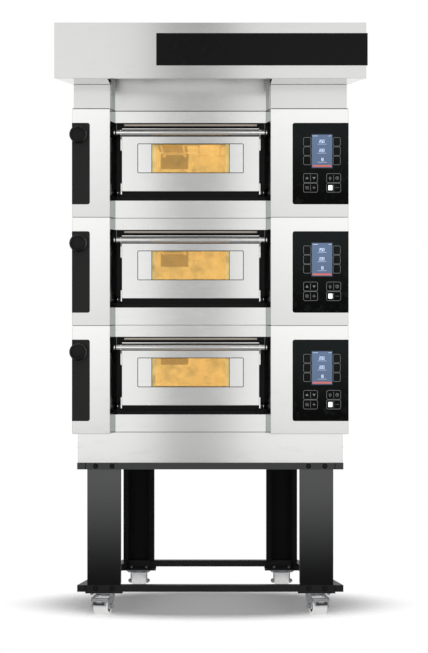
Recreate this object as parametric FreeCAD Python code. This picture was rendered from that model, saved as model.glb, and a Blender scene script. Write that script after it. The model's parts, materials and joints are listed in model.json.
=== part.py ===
"""Three-deck electric baking oven on a castored stand, with an extraction hood.

Millimetres. +X is to the right of someone facing the oven, +Y runs to its back and +Z is up.
The origin is on the floor, under the middle of the overall length, width and depth.
Each function builds one sub-assembly and adds its solids to PARTS under a node's name.
"""
import FreeCAD, Part
import math
import os

V = FreeCAD.Vector
X_AXIS, Y_AXIS, Z_AXIS = V(1, 0, 0), V(0, 1, 0), V(0, 0, 1)

# ---------------------------------------------------------------- driving dimensions
DECK_COUNT = 3
BODY_WIDTH = 1020.0
DECK_HEIGHT = 400.0
DECK_DEPTH = 930.0
LEFT_COLUMN = 139.5        # width of the column that carries the steam-valve knob
RIGHT_COLUMN = 287.0       # width of the column that carries the controls
RECESS_DEPTH = 110.0       # from the columns' front to the centre fascia
REVEAL_SPLAY = 15.0        # how far each reveal leans inward over the recess depth
SHEET = 1.5                # every folded or flat steel sheet
SEAM = 1.0                 # half of the shadow gap between stacked decks
RUN = 0.3                  # running clearance round pins and shafts
OVER = 1.0                 # how far a cutting shape runs past what it cuts
COVER_RETURN = 40.0        # side return of a column cover
EDGE_ROUND = 2.5           # outside bend of a folded sheet

# stand
RAIL_HEIGHT = 25.0
RAIL_WIDTH = 31.0
RAIL_WALL = 2.0
FRAME_FRONT_WIDTH = 992.0
FRAME_REAR_WIDTH = 712.0
FRAME_DEPTH = 770.0
LEG_LENGTH = 431.0
LEG_WIDTH = 124.0
LEG_DEPTH = 70.0
LEG_LIP = 20.0
LEG_SHEET = 3.0
LEG_SETBACK = 1.0          # leg's web behind the face of its rail
FRONT_LEG_X = 396.5
REAR_LEG_X = 289.5
FOOT_PLATE = 6.0
FOOT_PLATE_WIDTH = 139.0
FOOT_PLATE_DEPTH = 112.0
BOLT_RADIUS = 6.5
BOLT_HEAD = 3.5
BOLT_SPACING = 61.0

# casters
WHEEL_RADIUS = 33.0
WHEEL_WIDTH = 56.0
AXLE_RADIUS = 5.0
CASTER_TRAIL = 24.0
CASTER_TOE = 15.0          # how far the front casters are turned outward, in degrees
FORK_SHEET = 3.0
FORK_GAP = 2.0             # between the wheel and each cheek
WHEEL_HEADROOM = 4.0
RACE_HEIGHT = 7.0
RACE_RADIUS = 26.0
KINGPIN_RADIUS = 6.0
TOP_PLATE = 3.0
TOP_PLATE_SIDE = 98.0
PEDAL_LENGTH = 30.0
PEDAL_SHEET = 2.5
PEDAL_SLOPE = 48.0         # the pedal's fall below the horizontal, in degrees
PEDAL_SLOT = 8.0
PEDAL_SLOT_PLACE = 0.6     # slot's place down the blade, as a share of its length
PEDAL_TIP = 2.0
PEDAL_INSET = 1.0          # between the pedal's ends and the cheeks
PEDAL_BARREL = 6.0         # radius of the barrel the pedal turns on
PEDAL_PIN = 3.0
PEDAL_BEHIND = 2.0         # pedal's pin inside the wheel's foremost point
PEDAL_DROP = 6.0           # pedal's pin below the top of the wheel
FORK_NOSE = 7.0            # cheek ahead of the pedal's pin
FORK_HEEL = 14.0           # depth of the cheek's square rear corner
FORK_HEEL_TAPER = 4.0      # cheek's rear edge in, at the foot of that corner
FORK_TOE = 2.0             # crown ahead of the axle
FORK_BROW = 4.0            # cheek above the pedal's pin
AXLE_CHEEK = 11.0          # cheek round the axle
AXLE_CHAMFER = 5.0
AXLE_BOSS = 4.0            # boss's wall round the axle, outside each cheek
AXLE_BOSS_HEIGHT = 3.0
PLATE_CORNER = 9.0
PIN_INSET = 2.0            # kingpin below the fork's crown
TREAD_CHAMFER = 4.0
TREAD_DROP = 5.0           # shoulder's radius less than the tread's
DISH_DEPTH = 5.0           # recess in each side of the wheel
DISH_RIM = 9.0
HUB_WALL = 6.0
HUB_SUNK = 6.0             # how far the hub runs into the wheel

# plinth
PLINTH_HEIGHT = 112.0
PLINTH_INSET = 17.0
PLINTH_SETBACK = 75.0
PLINTH_REAR_INSET = 40.0

# door, given from the deck's base and from the columns' front
DOOR_WIDTH = 514.0
DOOR_BOTTOM = 100.0
DOOR_HEIGHT = 236.0
DOOR_PROUD = 10.0          # the door's face ahead of the fascia
DOOR_THICKNESS = 45.0
DOOR_SKIN_DEPTH = 22.0
HINGE_DROP = 4.0           # hinge axis below the door's bottom edge
HINGE_RADIUS = 5.0
HINGE_SETBACK = 22.0       # hinge axis behind the door's face
WINDOW_WIDTH = 397.0
WINDOW_HEIGHT = 111.0
WINDOW_BOTTOM = 68.0       # above the door's bottom edge
WINDOW_CORNER = 5.0
WINDOW_GAP = 0.8
GLASS_WIDTH = 289.0
GLASS_THICKNESS = 4.0
GLASS_RECESS = 1.0
HANDLE_RADIUS = 10.0
HANDLE_HALF_BAR = 276.0
HANDLE_NECK = 5.0
HANDLE_NECK_RADIUS = 6.0
HANDLE_CAP = 5.0
HANDLE_CAP_RADIUS = 9.5
HANDLE_STANDOFF = 35.0     # bar centre ahead of the door's face
HANDLE_DROP = 18.5         # bar centre below the door's top edge
ARM_SHEET = 4.0
ARM_HEIGHT = 81.0
ARM_BACK = 40.0            # how far an arm runs back along the door's side
ARM_NOSE = 8.0             # arm ahead of the bar's centre
ARM_AHEAD = 6.0            # arm's lower part ahead of the door's face
ARM_CHAMFER = 8.0
ARM_CURL = 24.0            # foot of the arm's slope below the bar's centre
ARM_RISE = 8.0             # arm above and below the bar's centre, at its nose
ARM_TOE = 4.0              # arm's lower front corner behind the door's face
CAP_ROUND = 1.5
EAR_HALF = 9.0             # hinge ear round its pin
EAR_DROP = 7.0
EAR_FOOT = 12.0            # ear's rear corner above the door's bottom edge
EAR_HEIGHT = 30.0          # ear's top above the door's bottom edge
EAR_INSET = 3.0
BRACKET_SIDE_GAP = 3.0     # between a hinge ear and its bracket
BRACKET_THICKNESS = 8.0
BRACKET_NOSE = 11.0        # bracket ahead of the pin
BRACKET_NOSE_HALF = 9.0
BRACKET_ROOT_HALF = 14.0
PIN_PROUD = 2.0            # hinge pin beyond its bracket
LINER_INSET = 1.0
GLASS_LAP = 12.0           # pane's overlap at each side of the light opening
LIGHT_INSET = 3.0          # light opening inside the window, above and below
PANE_LAP = 6.0             # inner pane beyond the window, above and below

# fascia, mouth frame and chamber
UPPER_FASCIA = 44.0
LOWER_FASCIA = 66.0
MOUTH_GAP = 2.0            # between the closed door and the mouth frame
MOUTH_DEPTH = 18.0
CHAMBER_WIDTH = 470.0
CHAMBER_FLOOR = 122.0      # top of the baking stone above the deck's base
CHAMBER_HEIGHT = 164.0
CHAMBER_DEPTH = 700.0
STONE_THICKNESS = 18.0
STONE_GAP = 2.0
STONE_LEDGE = 12.0
UNDER_STONE = 16.0         # room for the lower elements
ELEMENT_RADIUS = 4.0
ELEMENT_LOOPS = 3
ELEMENT_WIDTH = 60.0       # between a hairpin's two legs
ELEMENT_PITCH = 144.0
ELEMENT_BEND = 60.0        # hairpin's bend behind the stone's front edge
ELEMENT_END_GAP = 2.0      # legs' ends ahead of the chamber's back wall
ELEMENT_DROP = 2.0         # upper elements below the chamber's top
LAMP_WIDTH = 72.0
LAMP_DEPTH = 90.0
LAMP_HEIGHT = 9.0
LAMP_FROM_BACK = 100.0
LAMP_ROUND = 3.0
SILL_HEIGHT = 12.0
SILL_SETBACK = 4.0         # sill's front behind the hinge axis
DRIP_DEPTH = 6.0
DRIP_GAP = 6.0             # drip edge above the sill
DRIP_HEIGHT = 3.0
PACKING_GAP = 1.0          # round each insulation slab

# controls and steam valve, given from the deck's base
PANEL_BOTTOM = 48.0
PANEL_HEIGHT = 300.0
PANEL_WIDTH = 206.0
VENT_PANEL_WIDTH = 65.0
PANEL_THICKNESS = 4.0
PANEL_PROUD = 0.6
PANEL_CORNER = 8.0
PANEL_WRAP = 25.0
PANEL_FIT = 0.4
PANEL_STOCK = 20.0         # how far the panel's cutting block stands clear of the body
NOTCH_INSET = 6.0          # reveal's notch for the handle, from the front and from the mouth
NOTCH_BELOW = 1.5          # notch below the bar
KNOB_INSET = 24.0          # knob axis in from the body's side
KNOB_HEIGHT = 304.0
KNOB_RADIUS = 32.0
KNOB_FACE_RADIUS = 28.5
KNOB_LENGTH = 50.0
KNOB_NECK_RADIUS = 13.0
KNOB_NECK = 10.0
KNOB_CONE = 5.0
KNOB_BEVEL = 12.0          # length of the taper to the knob's face
KNOB_EDGE = 2.0
KNOB_SOCKET = 20.0         # how far the rod goes into the knob
KNOB_TRAVEL = 60.0         # how far the steam valve pulls out
ROD_RADIUS = 4.0
STUB_RADIUS = 15.0         # outlet at the back of the steam box
PORT_RADIUS = 15.0         # inlet from the chamber's side
PORT_DROP = 34.0           # inlet below the rod
VALVE_SIDE = 44.0
VALVE_DISC = 4.0
VALVE_LIP = 3.0            # disc beyond the outlet's radius
VALVE_SEAT = 0.5           # between the shut disc and its seat
VALVE_LENGTH = KNOB_TRAVEL + 12.0
VALVE_FROM_BACK = 45.0
VALVE_CLEAR = 3.0          # between the steam box and the insulation
DISPLAY_WIDTH = 75.0
DISPLAY_HEIGHT = 122.0
DISPLAY_RIGHT = 60.0       # from the body's side to the display
DISPLAY_BOTTOM = 183.0
DISPLAY_DEPTH = 8.0
BOARD_THICKNESS = 2.0
BOARD_INSET = 8.0          # board inside the panel's edges
BOARD_SIDE = 12.0          # board from the body's side
RELAY_COUNT = 4
RELAY_PITCH = 75.0
RELAY_WIDTH = 70.0
RELAY_DEPTH = 45.0
RELAY_BOTTOM = 200.0
RELAY_HEIGHT = 85.0
TERMINAL_WIDTH = 40.0
TERMINAL_DEPTH = 300.0
TERMINAL_BOTTOM = 90.0
TERMINAL_HEIGHT = 30.0
WIRING_SETBACK = 120.0     # relays and terminals behind the mouth

# rear
FAN_SIDE = 120.0
FAN_DEPTH = 38.0
FAN_RADIUS = 54.0
FAN_HUB = 21.0
FAN_BLADES = 7
FAN_FROM_SIDE = 144.0
FAN_HEIGHT = 200.0
FAN_CORNER = 5.0
FAN_TIP_GAP = 2.5
FAN_STRUT = 8.0
FAN_STRUT_DEPTH = 4.0
FAN_HUB_GAP = 1.0          # between the struts and the rotor
FAN_REAR_GAP = 4.0         # between the rotor and the back sheet
BLADE_CHORD = 26.0
BLADE_THICKNESS = 2.0
BLADE_ROOT = 3.0           # how far each blade is set into the hub
BLADE_PITCH = 50.0         # degrees
SLOT_COUNT = 7
SLOT_HEIGHT = 6.0
GLAND_FROM_SIDE = 260.0
GLAND_HEIGHT = 60.0
GLAND_RADIUS = 16.0
GLAND_SPIGOT = 4.0         # spigot's radius less than the gland's
GLAND_INSIDE = 6.0         # spigot inside the back sheet
GLAND_ROUND = 3.0
GLAND_BORE = 9.0
GLAND_LENGTH = 28.0
DUCT_WIDTH = 70.0
DUCT_DEPTH = 60.0
DUCT_BELOW = 45.0          # duct's closed end below the lowest stub

# riser and hood
RISER_HEIGHT = 92.0
RISER_INSET = 5.0
RISER_SETBACK = 20.0
HOOD_HEIGHT = 200.0
HOOD_FRONT_WIDTH = 1121.0
HOOD_REACH = 215.0         # hood front ahead of the columns
HOOD_LIP = 20.0
INTAKE_RISE = 86.0         # how far the recess walls run up inside the hood
BAND_THICKNESS = 4.0
BAND_HEIGHT = 116.0
BAND_BOTTOM = 46.0
BAND_LEFT = -194.0
BAND_WRAP = 90.0
FILTER_RISE = 58.0
FILTER_BAR = 12.0
FILTER_SLATS = 9
SLAT_COVER = 0.84          # a slat's width as a share of the pitch
SLAT_CLEAR = 3.0           # tilted slat's rise less than the frame's
FLUE_RADIUS = 75.0
FLUE_WALL = 1.5
FLUE_HEIGHT = 60.0
FLUE_FLANGE = 190.0
FLUE_FLANGE_SHEET = 2.0
FLUE_FROM_BACK = 280.0
FLUE_HOLE = 150.0

# ---------------------------------------------------------------- derived places
HALF = BODY_WIDTH / 2
OVERALL_DEPTH = BAND_THICKNESS + HOOD_REACH + DECK_DEPTH + DUCT_DEPTH
FRONT = -OVERALL_DEPTH / 2 + BAND_THICKNESS + HOOD_REACH      # the columns' front plane
BACK = FRONT + DECK_DEPTH
RECESS_LEFT = -HALF + LEFT_COLUMN
RECESS_RIGHT = HALF - RIGHT_COLUMN
CENTRE = (RECESS_LEFT + RECESS_RIGHT) / 2
FASCIA_Y = FRONT + RECESS_DEPTH
DOOR_Y = FASCIA_Y - DOOR_PROUD
DOOR_BACK = DOOR_Y + DOOR_THICKNESS
MOUTH_Y = DOOR_BACK + MOUTH_GAP
CHAMBER_Y = MOUTH_Y + MOUTH_DEPTH
CHAMBER_BACK = CHAMBER_Y + CHAMBER_DEPTH
HINGE_Y = DOOR_Y + HINGE_SETBACK
HINGE_HEIGHT = DOOR_BOTTOM - HINGE_DROP
HANDLE_Y = DOOR_Y - HANDLE_STANDOFF
HANDLE_HEIGHT = DOOR_BOTTOM + DOOR_HEIGHT - HANDLE_DROP
KNOB_X = -HALF + KNOB_INSET
VALVE_BACK = BACK - VALVE_FROM_BACK
PORT_Y = VALVE_BACK - VALVE_LENGTH / 2
FAN_X = HALF - FAN_FROM_SIDE
GLAND_X = HALF - GLAND_FROM_SIDE

FORK_Z = 2 * WHEEL_RADIUS + WHEEL_HEADROOM
RACE_Z = FORK_Z + FORK_SHEET + RUN
TOP_PLATE_Z = RACE_Z + RACE_HEIGHT
CASTER_HEIGHT = TOP_PLATE_Z + TOP_PLATE
FORK_HALF = WHEEL_WIDTH / 2 + FORK_GAP                        # inside of each cheek
FORK_OUTER = FORK_HALF + FORK_SHEET
PEDAL_Y = -CASTER_TRAIL - WHEEL_RADIUS + PEDAL_BEHIND         # from the kingpin
PEDAL_Z = 2 * WHEEL_RADIUS - PEDAL_DROP
LOWER_FRAME_Z = CASTER_HEIGHT + FOOT_PLATE
LEG_Z = LOWER_FRAME_Z + RAIL_HEIGHT
TOP_FRAME_Z = LEG_Z + LEG_LENGTH
PLINTH_Z = TOP_FRAME_Z + RAIL_HEIGHT
DECKS_Z = PLINTH_Z + PLINTH_HEIGHT
RISER_Z = DECKS_Z + DECK_COUNT * DECK_HEIGHT
HOOD_Z = RISER_Z + RISER_HEIGHT
HOOD_TOP = HOOD_Z + HOOD_HEIGHT
FRAME_Y = FRONT + PLINTH_SETBACK
FRAME_BACK = FRAME_Y + FRAME_DEPTH
RISER_Y = FRONT + RISER_SETBACK
HOOD_Y = FRONT - HOOD_REACH
HOOD_BACK = BACK + DUCT_DEPTH
HOOD_LEAN = (HOOD_FRONT_WIDTH / 2 - HALF) / (RISER_Y - HOOD_Y)      # of its cheeks, in plan

PARTS = {}


def add(node, *solids):
    """Adds solids to a node."""
    PARTS.setdefault(node, []).extend(solids)


def box(x0, x1, y0, y1, z0, z1):
    """A block between two corners."""
    return Part.makeBox(x1 - x0, y1 - y0, z1 - z0, V(x0, y0, z0))


def prism(points, z0, z1):
    """A plan outline, as (x, y) pairs, raised from z0 to z1."""
    outline = [V(x, y, z0) for x, y in points]
    face = Part.Face(Part.makePolygon(outline + outline[:1]))
    return face.extrude(V(0, 0, z1 - z0))


def side_prism(points, x0, x1):
    """A side outline, as (y, z) pairs, pulled from x0 to x1."""
    outline = [V(x0, y, z) for y, z in points]
    face = Part.Face(Part.makePolygon(outline + outline[:1]))
    return face.extrude(V(x1 - x0, 0, 0))


def rod(start, direction, radius, length):
    """A round bar."""
    return Part.makeCylinder(radius, length, start, direction)


def drill(start, direction, radius, length):
    """A round cutter that runs past both ends of the hole it makes."""
    return rod(start - direction * OVER, direction, radius, length + 2 * OVER)


def round_edges(solid, radius, wanted):
    """Fillets the edges whose middle satisfies a test."""
    edges = [e for e in solid.Edges if wanted(e.CenterOfMass)]
    return solid.makeFillet(radius, edges) if edges else solid


def near(a, b):
    """Whether two coordinates are the same within a hundredth of a millimetre."""
    return abs(a - b) < 0.01


def recess_edge(side):
    """Where a column's face ends at the recess: side is -1 for the left column and 1 for the right."""
    return RECESS_LEFT if side < 0 else RECESS_RIGHT


def reveal_x(side, y):
    """The reveal's face at a depth."""
    return recess_edge(side) - side * REVEAL_SPLAY * (y - FRONT) / RECESS_DEPTH


# ---------------------------------------------------------------- stand and plinth
def rail_x(y, inset):
    """The stand frame's half width at a depth, less an inset."""
    lean = (FRAME_FRONT_WIDTH - FRAME_REAR_WIDTH) / 2 / FRAME_DEPTH
    return FRAME_FRONT_WIDTH / 2 - lean * (y - FRAME_Y) - inset


def stand_frame(z):
    """A four-sided ring of square tube that narrows to the back, with its open ends plugged."""
    node, top = "stand_frames", z + RAIL_HEIGHT
    for y0, y1 in ((FRAME_Y, FRAME_Y + RAIL_WIDTH), (FRAME_BACK - RAIL_WIDTH, FRAME_BACK)):
        near_x, far_x = rail_x(y0, RAIL_WIDTH), rail_x(y1, RAIL_WIDTH)
        rail = prism([(-near_x, y0), (near_x, y0), (far_x, y1), (-far_x, y1)], z, top)
        hollow = box(-near_x - OVER, near_x + OVER, y0 + RAIL_WALL, y1 - RAIL_WALL,
                     z + RAIL_WALL, top - RAIL_WALL)
        add(node, rail.cut(hollow))
    for side in (-1, 1):
        corners = [(side * rail_x(FRAME_Y, 0), FRAME_Y), (side * rail_x(FRAME_BACK, 0), FRAME_BACK),
                   (side * rail_x(FRAME_BACK, RAIL_WIDTH), FRAME_BACK),
                   (side * rail_x(FRAME_Y, RAIL_WIDTH), FRAME_Y)]
        ends = ((FRAME_Y - OVER, RAIL_WALL), (FRAME_BACK + OVER, RAIL_WALL),
                (FRAME_BACK + OVER, RAIL_WIDTH - RAIL_WALL), (FRAME_Y - OVER, RAIL_WIDTH - RAIL_WALL))
        tube = prism(corners, z, top)
        hollow = prism([(side * rail_x(y, inset), y) for y, inset in ends], z + RAIL_WALL, top - RAIL_WALL)
        add(node, tube.cut(hollow))
        for y in (FRAME_Y, FRAME_BACK - RAIL_WALL):
            plug = hollow.common(box(-FRAME_FRONT_WIDTH, FRAME_FRONT_WIDTH, y, y + RAIL_WALL, z, top))
            add(node, plug)


def leg(x, y_web, inward):
    """A lipped channel leg: its web stands at y_web and its flanges run the inward way along Y."""
    half, sheet = LEG_WIDTH / 2, LEG_SHEET
    back = y_web + inward * LEG_DEPTH
    web = y_web + inward * sheet
    lip = back - inward * sheet
    outline = [(x - half, y_web), (x + half, y_web), (x + half, back), (x + half - LEG_LIP, back),
               (x + half - LEG_LIP, lip), (x + half - sheet, lip), (x + half - sheet, web),
               (x - half + sheet, web), (x - half + sheet, lip), (x - half + LEG_LIP, lip),
               (x - half + LEG_LIP, back), (x - half, back)]
    return round_edges(prism(outline, LEG_Z, TOP_FRAME_Z), EDGE_ROUND,
                       lambda c: near(c.y, y_web) and near(abs(c.x - x), half))


def leg_places():
    """Each leg as (name, x, face of its rail, way its flanges run)."""
    return [("front_left", -FRONT_LEG_X, FRAME_Y, 1), ("front_right", FRONT_LEG_X, FRAME_Y, 1),
            ("rear_left", -REAR_LEG_X, FRAME_BACK, -1), ("rear_right", REAR_LEG_X, FRAME_BACK, -1)]


def stand():
    """Two rings, four legs, their foot plates and the bolts through the rails."""
    stand_frame(LOWER_FRAME_Z)
    stand_frame(TOP_FRAME_Z)
    for _, x, face, inward in leg_places():
        add("stand_legs", leg(x, face + inward * LEG_SETBACK, inward))
        y0, y1 = sorted((face, face + inward * FOOT_PLATE_DEPTH))
        add("foot_plates", box(x - FOOT_PLATE_WIDTH / 2, x + FOOT_PLATE_WIDTH / 2, y0, y1,
                               CASTER_HEIGHT, LOWER_FRAME_Z))
        rim = face - inward * BOLT_HEAD
        for z in (LOWER_FRAME_Z, TOP_FRAME_Z):
            for dx in (-BOLT_SPACING / 2, BOLT_SPACING / 2):
                start = V(x + dx, face, z + RAIL_HEIGHT / 2)
                head = rod(start, V(0, -inward, 0), BOLT_RADIUS, BOLT_HEAD)
                add("stand_bolts", round_edges(head, BOLT_HEAD / 2, lambda c: near(c.y, rim)))


def plinth():
    """A closed sheet-steel box that lifts the lowest deck off the stand."""
    x, y0, y1 = HALF - PLINTH_INSET, FRAME_Y, BACK - PLINTH_REAR_INSET
    z0, z1 = PLINTH_Z, DECKS_Z
    add("plinth",
        round_edges(box(-x, x, y0, y0 + SHEET, z0 + SEAM * 2, z1), SHEET / 2,
                    lambda c: near(c.y, y0) and near(abs(c.x), x)),
        box(-x, -x + SHEET, y0 + SHEET, y1 - SHEET, z0 + SHEET, z1 - SHEET),
        box(x - SHEET, x, y0 + SHEET, y1 - SHEET, z0 + SHEET, z1 - SHEET),
        box(-x, x, y1 - SHEET, y1, z0 + SHEET, z1 - SHEET),
        box(-x, x, y0 + SHEET, y1, z0, z0 + SHEET),
        box(-x, x, y0 + SHEET, y1, z1 - SHEET, z1))


# ---------------------------------------------------------------- casters
# Each is built over the origin, trailing along -Y, and is then turned and moved to its leg.
def caster_mounting():
    """The top plate, and under it the race with its kingpin."""
    side = TOP_PLATE_SIDE / 2
    plate = box(-side, side, -side, side, TOP_PLATE_Z, CASTER_HEIGHT)
    plate = round_edges(plate, PLATE_CORNER, lambda c: near(abs(c.x), abs(c.y)))
    race = rod(V(0, 0, RACE_Z), Z_AXIS, RACE_RADIUS, RACE_HEIGHT)
    race = round_edges(race, RACE_HEIGHT / 3, lambda c: near(c.z, RACE_Z))
    pin_z = FORK_Z - PIN_INSET
    kingpin = rod(V(0, 0, pin_z), Z_AXIS, KINGPIN_RADIUS, RACE_Z - pin_z)
    return [plate, race.fuse(kingpin).removeSplitter()]


def caster_fork(braked):
    """A folded fork with two cheeks and axle bosses, and the axle between the cheeks."""
    toe_y, nose_y = -CASTER_TRAIL - FORK_TOE, PEDAL_Y - FORK_NOSE
    axle_side = WHEEL_RADIUS - AXLE_CHEEK + AXLE_CHAMFER
    outline = [(RACE_RADIUS, FORK_Z), (RACE_RADIUS - FORK_HEEL_TAPER, FORK_Z - FORK_HEEL),
               (-CASTER_TRAIL + AXLE_CHEEK, axle_side), (-CASTER_TRAIL, WHEEL_RADIUS - AXLE_CHEEK),
               (-CASTER_TRAIL - AXLE_CHEEK, axle_side), (nose_y, PEDAL_Z - PEDAL_BARREL),
               (nose_y, PEDAL_Z + FORK_BROW), (toe_y, FORK_Z)]
    fork = box(-FORK_OUTER, FORK_OUTER, toe_y, RACE_RADIUS, FORK_Z, FORK_Z + FORK_SHEET)
    for side in (-1, 1):
        x0, x1 = sorted((side * FORK_HALF, side * FORK_OUTER))
        boss = rod(V(side * FORK_OUTER, -CASTER_TRAIL, WHEEL_RADIUS), V(side, 0, 0),
                   AXLE_RADIUS + AXLE_BOSS, AXLE_BOSS_HEIGHT)
        fork = fork.fuse(side_prism(outline, x0, x1)).fuse(boss)
    fork = fork.cut(drill(V(0, 0, FORK_Z), Z_AXIS, KINGPIN_RADIUS + RUN, FORK_SHEET))
    if braked:
        fork = fork.cut(drill(V(-FORK_OUTER, PEDAL_Y, PEDAL_Z), X_AXIS, PEDAL_PIN + RUN, 2 * FORK_OUTER))
    axle = rod(V(-FORK_HALF, -CASTER_TRAIL, WHEEL_RADIUS), X_AXIS, AXLE_RADIUS, 2 * FORK_HALF)
    return [fork.removeSplitter(), axle]


def caster_wheel():
    """A solid wheel with chamfered shoulders, dished sides and a raised hub."""
    tread, shoulder = WHEEL_WIDTH / 2, WHEEL_RADIUS - TREAD_DROP
    profile = [V(-tread, 0, 0), V(-tread, 0, shoulder), V(-tread + TREAD_CHAMFER, 0, WHEEL_RADIUS),
               V(tread - TREAD_CHAMFER, 0, WHEEL_RADIUS), V(tread, 0, shoulder), V(tread, 0, 0)]
    wheel = Part.Face(Part.makePolygon(profile + profile[:1])).revolve(V(0, 0, 0), X_AXIS, 360)
    for side in (-1, 1):
        outward = V(side, 0, 0)
        dish = rod(outward * (tread - DISH_DEPTH), outward, WHEEL_RADIUS - DISH_RIM, DISH_DEPTH + OVER)
        hub = rod(outward * (tread - HUB_SUNK), outward, AXLE_RADIUS + HUB_WALL, HUB_SUNK)
        wheel = wheel.cut(dish).fuse(hub)
    wheel = wheel.cut(drill(V(-tread, 0, 0), X_AXIS, AXLE_RADIUS + RUN, WHEEL_WIDTH)).removeSplitter()
    wheel.translate(V(0, -CASTER_TRAIL, WHEEL_RADIUS))
    return [wheel]


def brake_pedal():
    """A sloping blade with a slot, on a barrel whose pin turns in the cheeks."""
    slope = math.radians(PEDAL_SLOPE)
    run, fall = PEDAL_LENGTH * math.cos(slope), PEDAL_LENGTH * math.sin(slope)
    top, half = PEDAL_Z + PEDAL_PIN, FORK_HALF - PEDAL_INSET
    blade = [(PEDAL_Y, top), (PEDAL_Y - run, top - fall),
             (PEDAL_Y - run - PEDAL_SHEET, top - fall - PEDAL_TIP),
             (PEDAL_Y - PEDAL_SHEET, top + PEDAL_SHEET)]
    slot_y, slot_half = PEDAL_Y - run * PEDAL_SLOT_PLACE, PEDAL_SLOT / 2
    slot = box(-PEDAL_SLOT, PEDAL_SLOT, slot_y - slot_half, slot_y + slot_half, 0, FORK_Z)
    for x in (-PEDAL_SLOT, PEDAL_SLOT):
        slot = slot.fuse(rod(V(x, slot_y, 0), Z_AXIS, slot_half, FORK_Z))
    pedal = side_prism(blade, -half, half).cut(slot.removeSplitter())
    pedal = pedal.fuse(rod(V(-half, PEDAL_Y, PEDAL_Z), X_AXIS, PEDAL_BARREL, 2 * half))
    pedal = pedal.fuse(rod(V(-FORK_OUTER, PEDAL_Y, PEDAL_Z), X_AXIS, PEDAL_PIN, 2 * FORK_OUTER))
    return [pedal.removeSplitter()]


def casters():
    """Two braked casters at the front, turned outward, and two plain ones trailing to the back."""
    for name, x, face, inward in leg_places():
        braked = inward > 0
        turn = math.copysign(CASTER_TOE, x) if braked else 180
        pieces = {"caster_plates": caster_mounting(), f"caster_{name}_fork": caster_fork(braked),
                  f"caster_{name}_wheel": caster_wheel()}
        if braked:
            pieces[f"caster_{name}_brake"] = brake_pedal()
        for node, solids in pieces.items():
            for solid in solids:
                solid.rotate(V(0, 0, 0), Z_AXIS, turn)
                solid.translate(V(x, face + inward * FOOT_PLATE_DEPTH / 2, 0))
            add(node, *solids)


# ---------------------------------------------------------------- deck bodies
def plan_plates(x, y0, y1, z0, z1):
    """A deck's top or bottom sheet in three flat pieces, clear of the recess."""
    left, right = RECESS_LEFT - SHEET * 2, RECESS_RIGHT + SHEET * 2
    return [box(-x, left, y0, y1, z0, z1), box(right, x, y0, y1, z0, z1),
            box(left, right, MOUTH_Y, y1, z0, z1)]


def rear_panel(z):
    """A deck's back sheet: fan slots, the gland's hole and the steam stub's hole."""
    inside = HALF - SHEET
    panel = box(-inside, inside, BACK - SHEET, BACK, z + SHEET, z + DECK_HEIGHT - SHEET)
    pitch = 2 * FAN_RADIUS / SLOT_COUNT
    for i in range(SLOT_COUNT):
        offset = (i - (SLOT_COUNT - 1) / 2) * pitch
        half = math.sqrt(FAN_RADIUS ** 2 - offset ** 2) - SLOT_HEIGHT
        level = z + FAN_HEIGHT + offset
        panel = panel.cut(box(FAN_X - half, FAN_X + half, BACK - SHEET - OVER, BACK + OVER,
                              level - SLOT_HEIGHT / 2, level + SLOT_HEIGHT / 2))
    holes = ((GLAND_X, GLAND_HEIGHT, GLAND_RADIUS - GLAND_SPIGOT), (KNOB_X, KNOB_HEIGHT, STUB_RADIUS))
    for x, height, radius in holes:
        panel = panel.cut(drill(V(x, BACK - SHEET, z + height), Y_AXIS, radius, SHEET))
    return panel


def casing(node, z):
    """A deck's flat outer sheets and the wall between the oven and its electrics."""
    side_y = FRONT + COVER_RETURN + PANEL_FIT
    for side in (-1, 1):
        x0, x1 = sorted((side * HALF, side * (HALF - SHEET)))
        add(node, box(x0, x1, side_y, BACK, z + SEAM, z + DECK_HEIGHT - SEAM))
    inside = HALF - SHEET
    for z0 in (z, z + DECK_HEIGHT - SHEET):
        add(node, *plan_plates(inside, FRONT + SHEET * 2, BACK - SHEET, z0, z0 + SHEET))
    add(node, rear_panel(z))
    wall = RECESS_RIGHT + SHEET * 2
    add(node, box(wall, wall + SHEET, MOUTH_Y, BACK - SHEET, z + SHEET, z + DECK_HEIGHT - SHEET))


def panel_outline(side, width, z, grow):
    """The front black panel's block, grown all round: rounded at its inner corners only."""
    edge = side * HALF
    inner = edge - side * (width + grow)
    x0, x1 = sorted((inner, edge + side * PANEL_STOCK))
    z0, z1 = z + PANEL_BOTTOM - grow, z + PANEL_BOTTOM + PANEL_HEIGHT + grow
    block = box(x0, x1, FRONT - PANEL_STOCK, FRONT + PANEL_WRAP + grow, z0, z1)
    return round_edges(block, PANEL_CORNER + grow,
                       lambda c: near(c.x, inner) and (near(c.z, z0) or near(c.z, z1)))


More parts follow.
